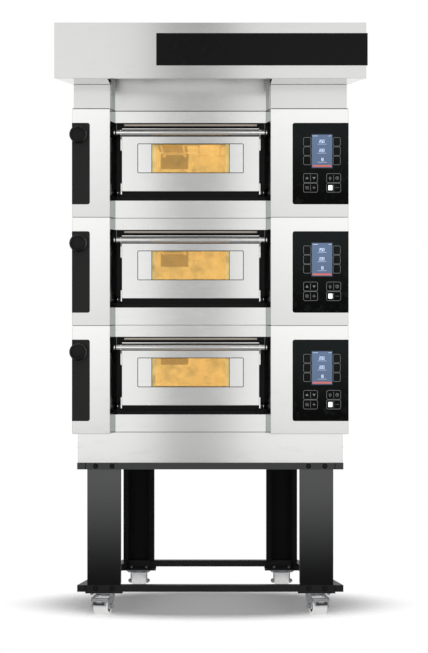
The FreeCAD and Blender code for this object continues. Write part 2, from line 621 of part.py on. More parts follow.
def cover(side, z):
    """A column's folded front cover: outer return, face and splayed reveal in one sheet."""
    outer, edge = side * HALF, recess_edge(side)
    return_y, end_y = FRONT + COVER_RETURN, MOUTH_Y - RUN
    outline = [(outer, return_y), (outer, FRONT), (edge, FRONT), (reveal_x(side, end_y), end_y),
               (reveal_x(side, end_y) + side * SHEET, end_y), (edge + side * SHEET, FRONT + SHEET),
               (outer - side * SHEET, FRONT + SHEET), (outer - side * SHEET, return_y)]
    sheet = prism(outline, z + SEAM, z + DECK_HEIGHT - SEAM)
    sheet = round_edges(sheet, EDGE_ROUND / 2,
                        lambda c: near(c.y, FRONT) and (near(c.x, outer) or near(c.x, edge)))
    width = VENT_PANEL_WIDTH if side < 0 else PANEL_WIDTH
    sheet = sheet.cut(panel_outline(side, width, z, PANEL_FIT))
    x0, x1 = sorted((edge - side * REVEAL_SPLAY * 2, edge + side * SHEET * 3))
    notch = box(x0, x1, FRONT + NOTCH_INSET, MOUTH_Y - NOTCH_INSET,
                z + HANDLE_HEIGHT - HANDLE_RADIUS - NOTCH_BELOW, z + DECK_HEIGHT - UPPER_FASCIA)
    return sheet.cut(notch)


def black_panel(side, z):
    """The moulded black panel let into a column cover and wrapped round its outer corner."""
    width = VENT_PANEL_WIDTH if side < 0 else PANEL_WIDTH
    skin = PANEL_THICKNESS - PANEL_PROUD
    x0, x1 = sorted((side * (HALF + PANEL_PROUD), side * (HALF - width - OVER)))
    keep = box(x0, x1, FRONT - PANEL_PROUD, FRONT + PANEL_WRAP, z, z + DECK_HEIGHT)
    x0, x1 = sorted((side * (HALF - skin), side * (HALF - width - 2 * OVER)))
    hollow = box(x0, x1, FRONT + skin, FRONT + PANEL_WRAP + OVER, z, z + DECK_HEIGHT)
    panel = panel_outline(side, width, z, 0).common(keep).cut(hollow)
    if side < 0:
        start = V(KNOB_X, FRONT - PANEL_PROUD, z + KNOB_HEIGHT)
        panel = panel.cut(drill(start, Y_AXIS, ROD_RADIUS + RUN, PANEL_THICKNESS))
    return panel


def fascia(z):
    """The recess's upper and lower sheets, each folded back over the gap round the door."""
    end_y = MOUTH_Y - RUN
    for z0, z1, fold in ((z + SEAM, z + LOWER_FASCIA, 1),
                         (z + DECK_HEIGHT - UPPER_FASCIA, z + DECK_HEIGHT - SEAM, -1)):
        left = [reveal_x(-1, y) + RUN for y in (FASCIA_Y, end_y)]
        right = [reveal_x(1, y) - RUN for y in (FASCIA_Y, end_y)]
        face = box(left[0], right[0], FASCIA_Y, FASCIA_Y + SHEET, z0, z1)
        edge_z = z1 if fold > 0 else z0
        lip = prism([(left[0], FASCIA_Y), (right[0], FASCIA_Y), (right[1], end_y), (left[1], end_y)],
                    *sorted((edge_z, edge_z - fold * SHEET)))
        sheet = face.fuse(lip).removeSplitter()
        add("fascia_panels", round_edges(sheet, SHEET / 2,
                                         lambda c: near(c.y, FASCIA_Y) and near(c.z, edge_z)))


# ---------------------------------------------------------------- chamber
def chamber(z):
    """The baking chamber's floor, roof, sides and back."""
    half = CHAMBER_WIDTH / 2
    left, right = CENTRE - half, CENTRE + half
    top = z + CHAMBER_FLOOR + CHAMBER_HEIGHT
    bottom = z + CHAMBER_FLOOR - STONE_THICKNESS - UNDER_STONE
    z0, z1 = bottom - SHEET, top + SHEET
    port = drill(V(left - SHEET, PORT_Y, z + KNOB_HEIGHT - PORT_DROP), X_AXIS, PORT_RADIUS - SHEET, SHEET)
    add("chambers",
        box(left, right, CHAMBER_Y, CHAMBER_BACK, z0, bottom),
        box(left, right, CHAMBER_Y, CHAMBER_BACK, top, z1),
        box(left - SHEET, left, CHAMBER_Y, CHAMBER_BACK, z0, z1).cut(port),
        box(right, right + SHEET, CHAMBER_Y, CHAMBER_BACK, z0, z1),
        box(left - SHEET, right + SHEET, CHAMBER_BACK, CHAMBER_BACK + SHEET, z0, z1))


def mouth_frame(z):
    """The frame that the door shuts in front of, with a sill and a drip edge under the door."""
    half = CHAMBER_WIDTH / 2
    left, right = CENTRE - half, CENTRE + half
    floor, top = z + CHAMBER_FLOOR, z + CHAMBER_FLOOR + CHAMBER_HEIGHT
    z0, z1 = z + LOWER_FASCIA / 2, z + DECK_HEIGHT - UPPER_FASCIA / 2
    add("mouth_frames",
        box(RECESS_LEFT, RECESS_RIGHT, MOUTH_Y, CHAMBER_Y, z0, floor),
        box(RECESS_LEFT, RECESS_RIGHT, MOUTH_Y, CHAMBER_Y, top, z1),
        box(RECESS_LEFT, left, MOUTH_Y, CHAMBER_Y, floor, top),
        box(right, RECESS_RIGHT, MOUTH_Y, CHAMBER_Y, floor, top))
    x0, x1 = CENTRE - DOOR_WIDTH / 2, CENTRE + DOOR_WIDTH / 2
    sill_z = z + LOWER_FASCIA
    drip_z = sill_z + SILL_HEIGHT + DRIP_GAP
    add("mouth_frames",
        box(x0, x1, HINGE_Y + SILL_SETBACK, MOUTH_Y, sill_z + RUN, sill_z + SILL_HEIGHT),
        box(x0, x1, MOUTH_Y - DRIP_DEPTH, MOUTH_Y, drip_z, drip_z + DRIP_HEIGHT))


def hinge_brackets(z):
    """Two brackets on the mouth frame that carry the door's pins."""
    level, root_y, nose_y = z + HINGE_HEIGHT, MOUTH_Y, HINGE_Y - BRACKET_NOSE
    for side in (-1, 1):
        x = CENTRE + side * (DOOR_WIDTH / 2 + ARM_SHEET + BRACKET_SIDE_GAP)
        x0, x1 = sorted((x, x + side * BRACKET_THICKNESS))
        outline = [(nose_y, level - BRACKET_NOSE_HALF), (root_y, level - BRACKET_ROOT_HALF),
                   (root_y, level + BRACKET_ROOT_HALF), (nose_y, level + BRACKET_NOSE_HALF)]
        bore = drill(V(x0, HINGE_Y, level), X_AXIS, HINGE_RADIUS + RUN, BRACKET_THICKNESS)
        add("hinge_brackets", side_prism(outline, x0, x1).cut(bore))


def hairpin(x, reach, y_bend, y_end, z):
    """A sheathed element: two straight runs joined by a half-turn at the front."""
    bend = V(x, y_bend - reach, z)
    path = Part.Wire([Part.LineSegment(V(x - reach, y_end, z), V(x - reach, y_bend, z)).toShape(),
                      Part.Arc(V(x - reach, y_bend, z), bend, V(x + reach, y_bend, z)).toShape(),
                      Part.LineSegment(V(x + reach, y_bend, z), V(x + reach, y_end, z)).toShape()])
    ring = Part.Wire(Part.makeCircle(ELEMENT_RADIUS, V(x - reach, y_end, z), Y_AXIS))
    return path.makePipeShell([ring], True, False)


def hearth(z):
    """Two baking stones on ledges, hairpin elements above and below, and the lamp."""
    half = CHAMBER_WIDTH / 2
    left, right = CENTRE - half, CENTRE + half
    floor, top = z + CHAMBER_FLOOR, z + CHAMBER_FLOOR + CHAMBER_HEIGHT
    stone_z = floor - STONE_THICKNESS
    y0, y1 = CHAMBER_Y + STONE_GAP, CHAMBER_BACK - STONE_GAP
    for x0, x1 in ((left + STONE_GAP, CENTRE - STONE_GAP / 2), (CENTRE + STONE_GAP / 2, right - STONE_GAP)):
        stone = box(x0, x1, y0, y1, stone_z, floor)
        add("baking_stones", round_edges(stone, STONE_GAP / 2, lambda c: near(c.z, floor)))
    for x0, x1 in ((left, left + STONE_LEDGE), (CENTRE - STONE_LEDGE / 2, CENTRE + STONE_LEDGE / 2),
                   (right - STONE_LEDGE, right)):
        add("baking_stones", box(x0, x1, y0, y1, stone_z - UNDER_STONE, stone_z))
    low, high = stone_z - UNDER_STONE / 2, top - ELEMENT_RADIUS - ELEMENT_DROP
    centres = {low: [CENTRE - half / 2, CENTRE + half / 2],
               high: [CENTRE + (i - (ELEMENT_LOOPS - 1) / 2) * ELEMENT_PITCH for i in range(ELEMENT_LOOPS)]}
    between_ledges = half - STONE_LEDGE * 1.5
    reach = min(ELEMENT_WIDTH / 2, between_ledges / 2 - ELEMENT_RADIUS)
    for level, places in centres.items():
        for x in places:
            add("heating_elements", hairpin(x, reach, y0 + ELEMENT_BEND, y1 - ELEMENT_END_GAP, level))
    lamp_x, lamp_y, lamp_z = CENTRE - ELEMENT_PITCH / 2, CHAMBER_BACK - LAMP_FROM_BACK, top - LAMP_HEIGHT
    lamp = box(lamp_x - LAMP_WIDTH / 2, lamp_x + LAMP_WIDTH / 2, lamp_y - LAMP_DEPTH, lamp_y, lamp_z, top)
    add("oven_lamps", round_edges(lamp, LAMP_ROUND, lambda c: near(c.z, lamp_z)))


def insulation(z):
    """Mineral-wool slabs packed round the chamber."""
    half, gap = CHAMBER_WIDTH / 2 + SHEET, PACKING_GAP
    left, right = CENTRE - half - gap, CENTRE + half + gap
    y0, y1 = CHAMBER_Y + gap, BACK - SHEET - gap
    low = z + CHAMBER_FLOOR - STONE_THICKNESS - UNDER_STONE - SHEET - gap
    high = z + CHAMBER_FLOOR + CHAMBER_HEIGHT + SHEET + gap
    z0, z1 = z + SHEET + gap, z + DECK_HEIGHT - SHEET - gap
    outer_left = KNOB_X + VALVE_SIDE / 2 + VALVE_CLEAR
    outer_right = RECESS_RIGHT + SHEET * 2 - gap
    port = drill(V(outer_left, PORT_Y, z + KNOB_HEIGHT - PORT_DROP), X_AXIS, PORT_RADIUS + RUN,
                 left - outer_left)
    add("insulation",
        box(outer_left, outer_right, y0, y1, z0, low),
        box(outer_left, outer_right, y0, y1, high, z1),
        box(outer_left, left, y0, y1, low, high).cut(port),
        box(right, outer_right, y0, y1, low, high),
        box(left, right, CHAMBER_BACK + SHEET + gap, y1, low, high))


# ---------------------------------------------------------------- doors
def door_panel(name, z0, z1):
    """A door's folded skin, its cassette with a cheek at each side of the window, and two panes."""
    left, right = CENTRE - DOOR_WIDTH / 2, CENTRE + DOOR_WIDTH / 2
    split_y = DOOR_Y + DOOR_SKIN_DEPTH
    win_z0, win_z1 = z0 + WINDOW_BOTTOM, z0 + WINDOW_BOTTOM + WINDOW_HEIGHT
    win_half, pane_half = WINDOW_WIDTH / 2, GLASS_WIDTH / 2

    skin = box(left, right, DOOR_Y, split_y, z0, z1)
    skin = round_edges(skin, SHEET, lambda c: near(c.y, DOOR_Y))
    skin = skin.cut(box(left + SHEET, right - SHEET, DOOR_Y + SHEET, split_y + OVER, z0 + SHEET, z1 - SHEET))
    hole = box(CENTRE - win_half, CENTRE + win_half, DOOR_Y - OVER, DOOR_Y + SHEET + OVER, win_z0, win_z1)
    hole = round_edges(hole, WINDOW_CORNER, lambda c: near(abs(c.x - CENTRE), win_half)
                       and (near(c.z, win_z0) or near(c.z, win_z1)))
    add(f"{name}_skin", skin.cut(hole))

    liner = box(left + LINER_INSET, right - LINER_INSET, split_y, DOOR_BACK,
                z0 + LINER_INSET, z1 - LINER_INSET)
    liner = round_edges(liner, SHEET, lambda c: near(c.y, DOOR_BACK))
    light = pane_half - GLASS_LAP
    liner = liner.cut(box(CENTRE - light, CENTRE + light, split_y - OVER, DOOR_BACK + OVER,
                          win_z0 + LIGHT_INSET, win_z1 - LIGHT_INSET))
    glass_y = DOOR_BACK - GLASS_THICKNESS - GLASS_RECESS
    liner = liner.cut(box(CENTRE - pane_half, CENTRE + pane_half, glass_y, DOOR_BACK + OVER,
                          win_z0 - PANE_LAP, win_z1 + PANE_LAP))
    add(f"{name}_liner", liner)
    for side in (-1, 1):
        tip = CENTRE + side * (win_half - WINDOW_GAP)
        x0, x1 = sorted((CENTRE + side * (pane_half + RUN), tip))
        cheek = box(x0, x1, DOOR_Y + SHEET / 2, split_y, win_z0 + WINDOW_GAP, win_z1 - WINDOW_GAP)
        add(f"{name}_liner", round_edges(cheek, WINDOW_CORNER - WINDOW_GAP,
                                         lambda c: near(c.x, tip) and not near(c.z, (win_z0 + win_z1) / 2)))

    front_y = DOOR_Y + GLASS_RECESS
    add(f"{name}_glass",
        box(CENTRE - pane_half, CENTRE + pane_half, front_y, front_y + GLASS_THICKNESS,
            win_z0 + WINDOW_GAP, win_z1 - WINDOW_GAP),
        box(CENTRE - pane_half + RUN, CENTRE + pane_half - RUN, glass_y, glass_y + GLASS_THICKNESS,
            win_z0 - PANE_LAP + RUN, win_z1 + PANE_LAP - RUN))


def door_handle(name, z):
    """A full-width bar on two arms, and under each arm a hinge ear with its pin."""
    level, hinge_z, door_z = z + HANDLE_HEIGHT, z + HINGE_HEIGHT, z + DOOR_BOTTOM
    reach = HANDLE_HALF_BAR + HANDLE_NECK + HANDLE_CAP
    bar = rod(V(CENTRE - HANDLE_HALF_BAR, HANDLE_Y, level), X_AXIS, HANDLE_RADIUS, 2 * HANDLE_HALF_BAR)
    bar = bar.fuse(rod(V(CENTRE - reach, HANDLE_Y, level), X_AXIS, HANDLE_NECK_RADIUS, 2 * reach))
    for side in (-1, 1):
        rim = CENTRE + side * reach
        cap = rod(V(rim - side * HANDLE_CAP, HANDLE_Y, level), V(side, 0, 0), HANDLE_CAP_RADIUS, HANDLE_CAP)
        bar = bar.fuse(round_edges(cap, CAP_ROUND, lambda c: near(c.x, rim)))
    bar = bar.removeSplitter()
    add(name, bar)
    top = level + ARM_RISE
    low = top - ARM_HEIGHT
    arm_outline = [(HANDLE_Y - ARM_NOSE, top), (DOOR_Y + ARM_BACK, top), (DOOR_Y + ARM_BACK, low),
                   (DOOR_Y + ARM_TOE, low), (DOOR_Y - ARM_AHEAD, low + ARM_CHAMFER),
                   (DOOR_Y - ARM_AHEAD, level - ARM_CURL), (HANDLE_Y - ARM_NOSE, level - ARM_RISE)]
    ear_outline = [(HINGE_Y - EAR_HALF, hinge_z - EAR_DROP), (HINGE_Y + EAR_HALF, hinge_z - EAR_DROP),
                   (DOOR_BACK - EAR_INSET, door_z + EAR_FOOT), (DOOR_BACK - EAR_INSET, door_z + EAR_HEIGHT),
                   (HINGE_Y - EAR_HALF, door_z + EAR_HEIGHT)]
    pin_length = ARM_SHEET + BRACKET_SIDE_GAP + BRACKET_THICKNESS + PIN_PROUD
    for side in (-1, 1):
        edge = CENTRE + side * DOOR_WIDTH / 2
        x0, x1 = sorted((edge, edge + side * ARM_SHEET))
        add(name, side_prism(arm_outline, x0, x1).cut(bar))
        pin = rod(V(edge, HINGE_Y, hinge_z), V(side, 0, 0), HINGE_RADIUS, pin_length)
        add(name, side_prism(ear_outline, x0, x1).fuse(pin).removeSplitter())


# ---------------------------------------------------------------- steam valve and exhaust
def steam_valve(number, z):
    """A pull knob on a long rod whose disc shuts the steam box's outlet."""
    level = z + KNOB_HEIGHT
    face = FRONT - PANEL_PROUD - RUN
    tip = face - KNOB_LENGTH
    profile = [(0, face), (KNOB_NECK_RADIUS, face), (KNOB_NECK_RADIUS, face - KNOB_NECK),
               (KNOB_RADIUS, face - KNOB_NECK - KNOB_CONE), (KNOB_RADIUS, tip + KNOB_BEVEL),
               (KNOB_FACE_RADIUS, tip + KNOB_EDGE), (KNOB_FACE_RADIUS - KNOB_EDGE, tip), (0, tip)]
    outline = [V(KNOB_X + radius, y, level) for radius, y in profile]
    knob = Part.Face(Part.makePolygon(outline + outline[:1])).revolve(V(KNOB_X, 0, level), Y_AXIS, 360)
    start, end = face - KNOB_SOCKET, VALVE_BACK - SHEET - VALVE_SEAT
    socket = rod(V(KNOB_X, start, level), Y_AXIS, ROD_RADIUS, KNOB_SOCKET + OVER)
    add(f"vent_{number}_knob", knob.cut(socket))
    shaft = rod(V(KNOB_X, start, level), Y_AXIS, ROD_RADIUS, end - start)
    disc = rod(V(KNOB_X, end - VALVE_DISC, level), Y_AXIS, STUB_RADIUS + VALVE_LIP, VALVE_DISC)
    add(f"vent_{number}_rod", shaft.fuse(disc).removeSplitter())


def steam_box(z):
    """The box the chamber's steam enters from the side and leaves by the stub at the back."""
    level, half = z + KNOB_HEIGHT, VALVE_SIDE / 2
    y0, y1 = VALVE_BACK - VALVE_LENGTH, VALVE_BACK
    side_wall = CENTRE - CHAMBER_WIDTH / 2 - SHEET
    port = V(KNOB_X, PORT_Y, level - PORT_DROP)
    shell = box(KNOB_X - half, KNOB_X + half, y0, y1, level - PORT_DROP - half, level + half)
    room = box(KNOB_X - half + SHEET, KNOB_X + half - SHEET, y0 + SHEET, y1 - SHEET,
               level - PORT_DROP - half + SHEET, level + half - SHEET)
    shell = shell.fuse(rod(port, X_AXIS, PORT_RADIUS, side_wall - port.x))
    shell = shell.fuse(rod(V(KNOB_X, y1 - SHEET, level), Y_AXIS, STUB_RADIUS, BACK - y1 + SHEET))
    shell = shell.cut(room).cut(rod(port, X_AXIS, PORT_RADIUS - SHEET, side_wall - port.x + OVER))
    shell = shell.cut(drill(V(KNOB_X, y1 - SHEET, level), Y_AXIS, STUB_RADIUS - SHEET, BACK - y1 + SHEET))
    shell = shell.cut(drill(V(KNOB_X, y0, level), Y_AXIS, ROD_RADIUS + RUN, SHEET))
    add("steam_pipes", shell.removeSplitter())


def rear_duct():
    """The flat duct up the back that takes every deck's steam into the hood."""
    z0 = DECKS_Z + KNOB_HEIGHT - DUCT_BELOW
    x0 = -HALF + SHEET
    x1 = x0 + DUCT_WIDTH
    duct = box(x0, x1, BACK, HOOD_BACK - SHEET, z0, HOOD_Z)
    duct = duct.cut(box(x0 + SHEET, x1 - SHEET, BACK + SHEET, HOOD_BACK - 2 * SHEET,
                        z0 + SHEET, HOOD_Z + OVER))
    for i in range(DECK_COUNT):
        level = DECKS_Z + i * DECK_HEIGHT + KNOB_HEIGHT
        duct = duct.cut(drill(V(KNOB_X, BACK, level), Y_AXIS, STUB_RADIUS - SHEET, SHEET))
    add("rear_duct", duct)


# ---------------------------------------------------------------- electrics
def electronics(z):
    """The display, its board, the relays and the terminal block behind the control column."""
    panel_back = FRONT + PANEL_THICKNESS - PANEL_PROUD
    board_y = panel_back + DISPLAY_DEPTH
    right = HALF - DISPLAY_RIGHT
    display = box(right - DISPLAY_WIDTH, right, panel_back, board_y,
                  z + DISPLAY_BOTTOM, z + DISPLAY_BOTTOM + DISPLAY_HEIGHT)
    board = box(HALF - PANEL_WIDTH + BOARD_INSET, HALF - BOARD_SIDE, board_y, board_y + BOARD_THICKNESS,
                z + PANEL_BOTTOM + BOARD_INSET, z + PANEL_BOTTOM + PANEL_HEIGHT - BOARD_INSET)
    add("electrics", display, board)
    x, y0 = RECESS_RIGHT + SHEET * 3, MOUTH_Y + WIRING_SETBACK
    for i in range(RELAY_COUNT):
        y = y0 + i * RELAY_PITCH
        add("electrics", box(x, x + RELAY_WIDTH, y, y + RELAY_DEPTH,
                             z + RELAY_BOTTOM, z + RELAY_BOTTOM + RELAY_HEIGHT))
    add("electrics", box(x, x + TERMINAL_WIDTH, y0, y0 + TERMINAL_DEPTH,
                         z + TERMINAL_BOTTOM, z + TERMINAL_BOTTOM + TERMINAL_HEIGHT))


def cooling_fan(number, z):
    """The fan's square frame with two struts, and its bladed rotor."""
    y0, y1 = BACK - SHEET - FAN_DEPTH, BACK - SHEET
    half, level = FAN_SIDE / 2, z + FAN_HEIGHT
    frame = box(FAN_X - half, FAN_X + half, y0, y1, level - half, level + half)
    frame = round_edges(frame, FAN_CORNER, lambda c: near(abs(c.x - FAN_X), half)
                        and near(abs(c.z - level), half))
    frame = frame.cut(drill(V(FAN_X, y0, level), Y_AXIS, FAN_RADIUS + FAN_TIP_GAP, FAN_DEPTH))
    mount = rod(V(FAN_X, y0, level), Y_AXIS, FAN_HUB, FAN_STRUT_DEPTH)
    for turn in (45, 135):
        strut = box(-half, half, y0, y0 + FAN_STRUT_DEPTH, -FAN_STRUT / 2, FAN_STRUT / 2)
        strut.rotate(V(0, 0, 0), Y_AXIS, turn)
        strut.translate(V(FAN_X, 0, level))
        mount = mount.fuse(strut)
    add("electrics", frame.fuse(mount).removeSplitter())
    hub_y = y0 + FAN_STRUT_DEPTH + FAN_HUB_GAP
    hub_depth = y1 - FAN_REAR_GAP - hub_y
    rotor = rod(V(FAN_X, hub_y, level), Y_AXIS, FAN_HUB, hub_depth)
    for i in range(FAN_BLADES):
        blade = box(FAN_HUB - BLADE_ROOT, FAN_RADIUS, -BLADE_THICKNESS / 2, BLADE_THICKNESS / 2,
                    -BLADE_CHORD / 2, BLADE_CHORD / 2)
        blade.rotate(V(0, 0, 0), X_AXIS, BLADE_PITCH)
        blade.rotate(V(0, 0, 0), Y_AXIS, 360 * i / FAN_BLADES)
        blade.translate(V(FAN_X, hub_y + hub_depth / 2, level))
        rotor = rotor.fuse(blade)
    add(f"cooling_fan_{number}", rotor.removeSplitter())


def cable_gland(z):
    """The gland that a deck's mains cable comes in by."""
    level, outside = z + GLAND_HEIGHT, GLAND_LENGTH - GLAND_INSIDE
    gland = rod(V(GLAND_X, BACK, level), Y_AXIS, GLAND_RADIUS, outside)
    gland = round_edges(gland, GLAND_ROUND, lambda c: near(c.y, BACK + outside))
    inner_end = V(GLAND_X, BACK - GLAND_INSIDE, level)
    gland = gland.fuse(rod(inner_end, Y_AXIS, GLAND_RADIUS - GLAND_SPIGOT, GLAND_LENGTH))
    add("cable_glands", gland.cut(drill(inner_end, Y_AXIS, GLAND_BORE, GLAND_LENGTH)).removeSplitter())


# ---------------------------------------------------------------- riser and hood
def riser():
    """The upright section between the top deck and the hood, with the recess carried up."""
    x = HALF - RISER_INSET
    z0, z1, intake = RISER_Z + SEAM * 2, HOOD_Z, HOOD_Z + INTAKE_RISE
    face_y = RISER_Y + SHEET
    for side in (-1, 1):
        x0, x1 = sorted((side * x, recess_edge(side)))
        add("riser", box(x0, x1, RISER_Y, face_y, z0, z1 - SEAM))
        x0, x1 = sorted((side * x, side * (x - SHEET)))
        add("riser", box(x0, x1, face_y, BACK - SHEET, z0, z1))
        near_x, far_x = reveal_x(side, face_y), reveal_x(side, FASCIA_Y)
        add("riser", prism([(near_x, face_y), (far_x, FASCIA_Y), (far_x + side * SHEET, FASCIA_Y),
                            (near_x + side * SHEET, face_y)], z0, intake))
    left, right = reveal_x(-1, FASCIA_Y), reveal_x(1, FASCIA_Y)
    add("riser", box(left - SHEET, right + SHEET, FASCIA_Y, FASCIA_Y + SHEET, z0, intake))
    add("riser", box(-x, x, BACK - SHEET, BACK, z0, z1))


def hood_cheek(side, front_x, inner_front, top):
    """One end of the hood: its leaning cheek, its side and the underside that closes it below."""
    node, edge = "hood_shell", recess_edge(side)
    inner_x, body_x = side * (front_x - SHEET), side * (HALF - SHEET)
    add(node, prism([(side * front_x, inner_front), (side * HALF, RISER_Y), (body_x, RISER_Y),
                     (inner_x, inner_front)], HOOD_Z, top))
    x0, x1 = sorted((side * HALF, body_x))
    add(node, box(x0, x1, RISER_Y, HOOD_BACK, HOOD_Z, top))
    add(node, prism([(inner_x, inner_front), (body_x, RISER_Y), (edge, RISER_Y), (edge, inner_front)],
                    HOOD_Z, HOOD_Z + SHEET))
    y_end = BACK if side < 0 else HOOD_BACK - SHEET
    x0, x1 = sorted((body_x, edge + side * SHEET * 2))
    add(node, box(x0, x1, RISER_Y, y_end, HOOD_Z, HOOD_Z + SHEET))


def hood():
    """A flared sheet-steel hood: front, ends, back, top and an open-bottomed intake."""
    node, top = "hood_shell", HOOD_TOP - SHEET
    wide, inner_front = HOOD_FRONT_WIDTH / 2, HOOD_Y + SHEET
    front_x = wide - HOOD_LEAN * SHEET
    front = prism([(-wide, HOOD_Y), (wide, HOOD_Y), (front_x, inner_front), (-front_x, inner_front)],
                  HOOD_Z, HOOD_TOP)
    add(node, round_edges(front, SHEET / 2, lambda c: near(c.y, HOOD_Y) and near(c.x, 0)))
    for side in (-1, 1):
        hood_cheek(side, front_x, inner_front, top)
    add(node, box(RECESS_LEFT, RECESS_RIGHT, inner_front, inner_front + HOOD_LIP, HOOD_Z, HOOD_Z + SHEET))
    add(node, box(RECESS_LEFT - SHEET * 2, RECESS_RIGHT + SHEET * 2, FASCIA_Y + SHEET, HOOD_BACK - SHEET,
                  HOOD_Z, HOOD_Z + SHEET))
    add(node, box(-HALF + SHEET, HALF - SHEET, HOOD_BACK - SHEET, HOOD_BACK, HOOD_Z, top))
    add(node, prism([(-front_x, inner_front), (front_x, inner_front), (HALF, RISER_Y), (-HALF, RISER_Y)],
                    top, HOOD_TOP))
    flue_y, hole = BACK - FLUE_FROM_BACK, FLUE_HOLE / 2
    add(node, box(-HALF, HALF, RISER_Y, flue_y - hole, top, HOOD_TOP),
        box(-HALF, HALF, flue_y + hole, HOOD_BACK, top, HOOD_TOP),
        box(-HALF, -hole, flue_y - hole, flue_y + hole, top, HOOD_TOP),
        box(hole, HALF, flue_y - hole, flue_y + hole, top, HOOD_TOP))


def hood_band():
    """The black band across the hood's front, wrapped round its right corner."""
    wide = HOOD_FRONT_WIDTH / 2
    offset = BAND_THICKNESS * math.hypot(1, HOOD_LEAN)
    front_y, end_y = HOOD_Y - BAND_THICKNESS, HOOD_Y + BAND_WRAP
    end_x = wide - HOOD_LEAN * BAND_WRAP
    outline = [(BAND_LEFT, front_y), (wide + offset + HOOD_LEAN * BAND_THICKNESS, front_y),
               (end_x + offset, end_y), (end_x, end_y), (wide, HOOD_Y), (BAND_LEFT, HOOD_Y)]
    z0 = HOOD_Z + BAND_BOTTOM
    band = prism(outline, z0, z0 + BAND_HEIGHT)
    add("hood_band", round_edges(band, BAND_THICKNESS / 4, lambda c: near(c.y, front_y)))


def grease_filter():
    """A lift-out filter across the intake: a frame with tilted slats."""
    node, bar, z = "grease_filter", FILTER_BAR, HOOD_Z + FILTER_RISE
    y0, y1 = HOOD_Y + SHEET + RUN, FASCIA_Y - RUN
    x0, x1 = reveal_x(-1, FASCIA_Y) + RUN, reveal_x(1, FASCIA_Y) - RUN
    add(node, box(x0, x1, y0, y0 + bar, z, z + bar), box(x0, x1, y1 - bar, y1, z, z + bar),
        box(x0, x0 + bar, y0 + bar, y1 - bar, z, z + bar), box(x1 - bar, x1, y0 + bar, y1 - bar, z, z + bar))
    pitch = (y1 - y0 - 2 * bar) / FILTER_SLATS
    width = pitch * SLAT_COVER
    tilt = math.degrees(math.asin((bar - SLAT_CLEAR) / width))
    for i in range(FILTER_SLATS):
        slat = box(x0 + bar, x1 - bar, -width / 2, width / 2, -SHEET / 2, SHEET / 2)
        slat.rotate(V(0, 0, 0), X_AXIS, tilt)
        slat.translate(V(0, y0 + bar + pitch * (i + 0.5), z + bar / 2))
        add(node, slat)


def flue_collar():
    """The round collar on the hood's top that a flue pipe slides over."""
    y, half = BACK - FLUE_FROM_BACK, FLUE_FLANGE / 2
    base, height = V(0, y, HOOD_TOP), FLUE_HEIGHT + FLUE_FLANGE_SHEET
    flange = box(-half, half, y - half, y + half, HOOD_TOP, HOOD_TOP + FLUE_FLANGE_SHEET)
    collar = flange.fuse(rod(base, Z_AXIS, FLUE_RADIUS, height))
    collar = collar.cut(drill(base, Z_AXIS, FLUE_RADIUS - FLUE_WALL, height))
    add("flue_collar", collar.removeSplitter())


def deck(number, z):
    """One whole deck, from its base up."""
    casing(f"deck_{number}_casing", z)
    add("column_covers", cover(-1, z), cover(1, z))
    add("vent_panels", black_panel(-1, z))
    add("control_panels", black_panel(1, z))
    fascia(z)
    chamber(z)
    mouth_frame(z)
    hinge_brackets(z)
    hearth(z)
    insulation(z)
    door_panel(f"door_{number}", z + DOOR_BOTTOM, z + DOOR_BOTTOM + DOOR_HEIGHT)
    door_handle(f"door_{number}_handle", z)
    steam_valve(number, z)
    steam_box(z)
    electronics(z)
    cooling_fan(number, z)
    cable_gland(z)


def main():
    """Builds every sub-assembly and writes one STEP file for each node."""
    stand()
    casters()
    plinth()
    for i in range(DECK_COUNT):
        deck(i + 1, DECKS_Z + i * DECK_HEIGHT)
    rear_duct()
    riser()
    hood()
    hood_band()
    grease_filter()
    flue_collar()
    os.makedirs("parts", exist_ok=True)
    for node, shapes in PARTS.items():
        solids = [solid for shape in shapes for solid in shape.Solids]
        bad = [solid for solid in solids if not solid.isValid() or solid.Volume <= 0]
        if bad or not solids:
            raise ValueError(f"{node}: {len(bad)} of {len(solids)} solids are not valid")
        shape = solids[0] if len(solids) == 1 else Part.makeCompound(solids)
        shape.exportStep(f"parts/{node}.step")
    print(len(PARTS), "nodes,", sum(len(shapes) for shapes in PARTS.values()), "solids")


main()
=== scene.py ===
"""Looks of a three-deck baking oven with a castored stand and an extraction hood.

Every position comes from the loaded frame. Metres: +X right, +Y back, +Z up.
"""
from __future__ import annotations

import json
import logging
import math
from dataclasses import dataclass, field
from enum import Enum
from itertools import product
from typing import Any, Callable, Iterable, Mapping, Sequence, Union

import bmesh
import bpy
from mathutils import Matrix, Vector


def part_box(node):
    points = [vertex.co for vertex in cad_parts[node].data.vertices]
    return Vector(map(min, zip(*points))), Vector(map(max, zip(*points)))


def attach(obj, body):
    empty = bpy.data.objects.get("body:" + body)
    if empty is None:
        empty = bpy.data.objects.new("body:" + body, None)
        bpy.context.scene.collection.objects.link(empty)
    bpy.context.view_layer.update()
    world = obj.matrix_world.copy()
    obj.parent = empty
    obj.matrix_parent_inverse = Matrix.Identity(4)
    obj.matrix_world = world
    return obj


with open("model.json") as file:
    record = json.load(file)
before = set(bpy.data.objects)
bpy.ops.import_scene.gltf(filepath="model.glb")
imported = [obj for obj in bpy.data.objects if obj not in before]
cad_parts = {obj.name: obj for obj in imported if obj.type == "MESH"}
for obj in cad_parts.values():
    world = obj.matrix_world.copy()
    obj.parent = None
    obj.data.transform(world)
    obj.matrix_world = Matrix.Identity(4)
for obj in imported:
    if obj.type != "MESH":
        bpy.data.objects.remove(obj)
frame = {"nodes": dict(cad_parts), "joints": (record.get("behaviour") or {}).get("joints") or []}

log = logging.getLogger("oven")
Colour = tuple[float, float, float]
Outline = list[tuple[float, float]]
X_AXIS, Y_AXIS, Z_AXIS = Vector((1, 0, 0)), Vector((0, 1, 0)), Vector((0, 0, 1))
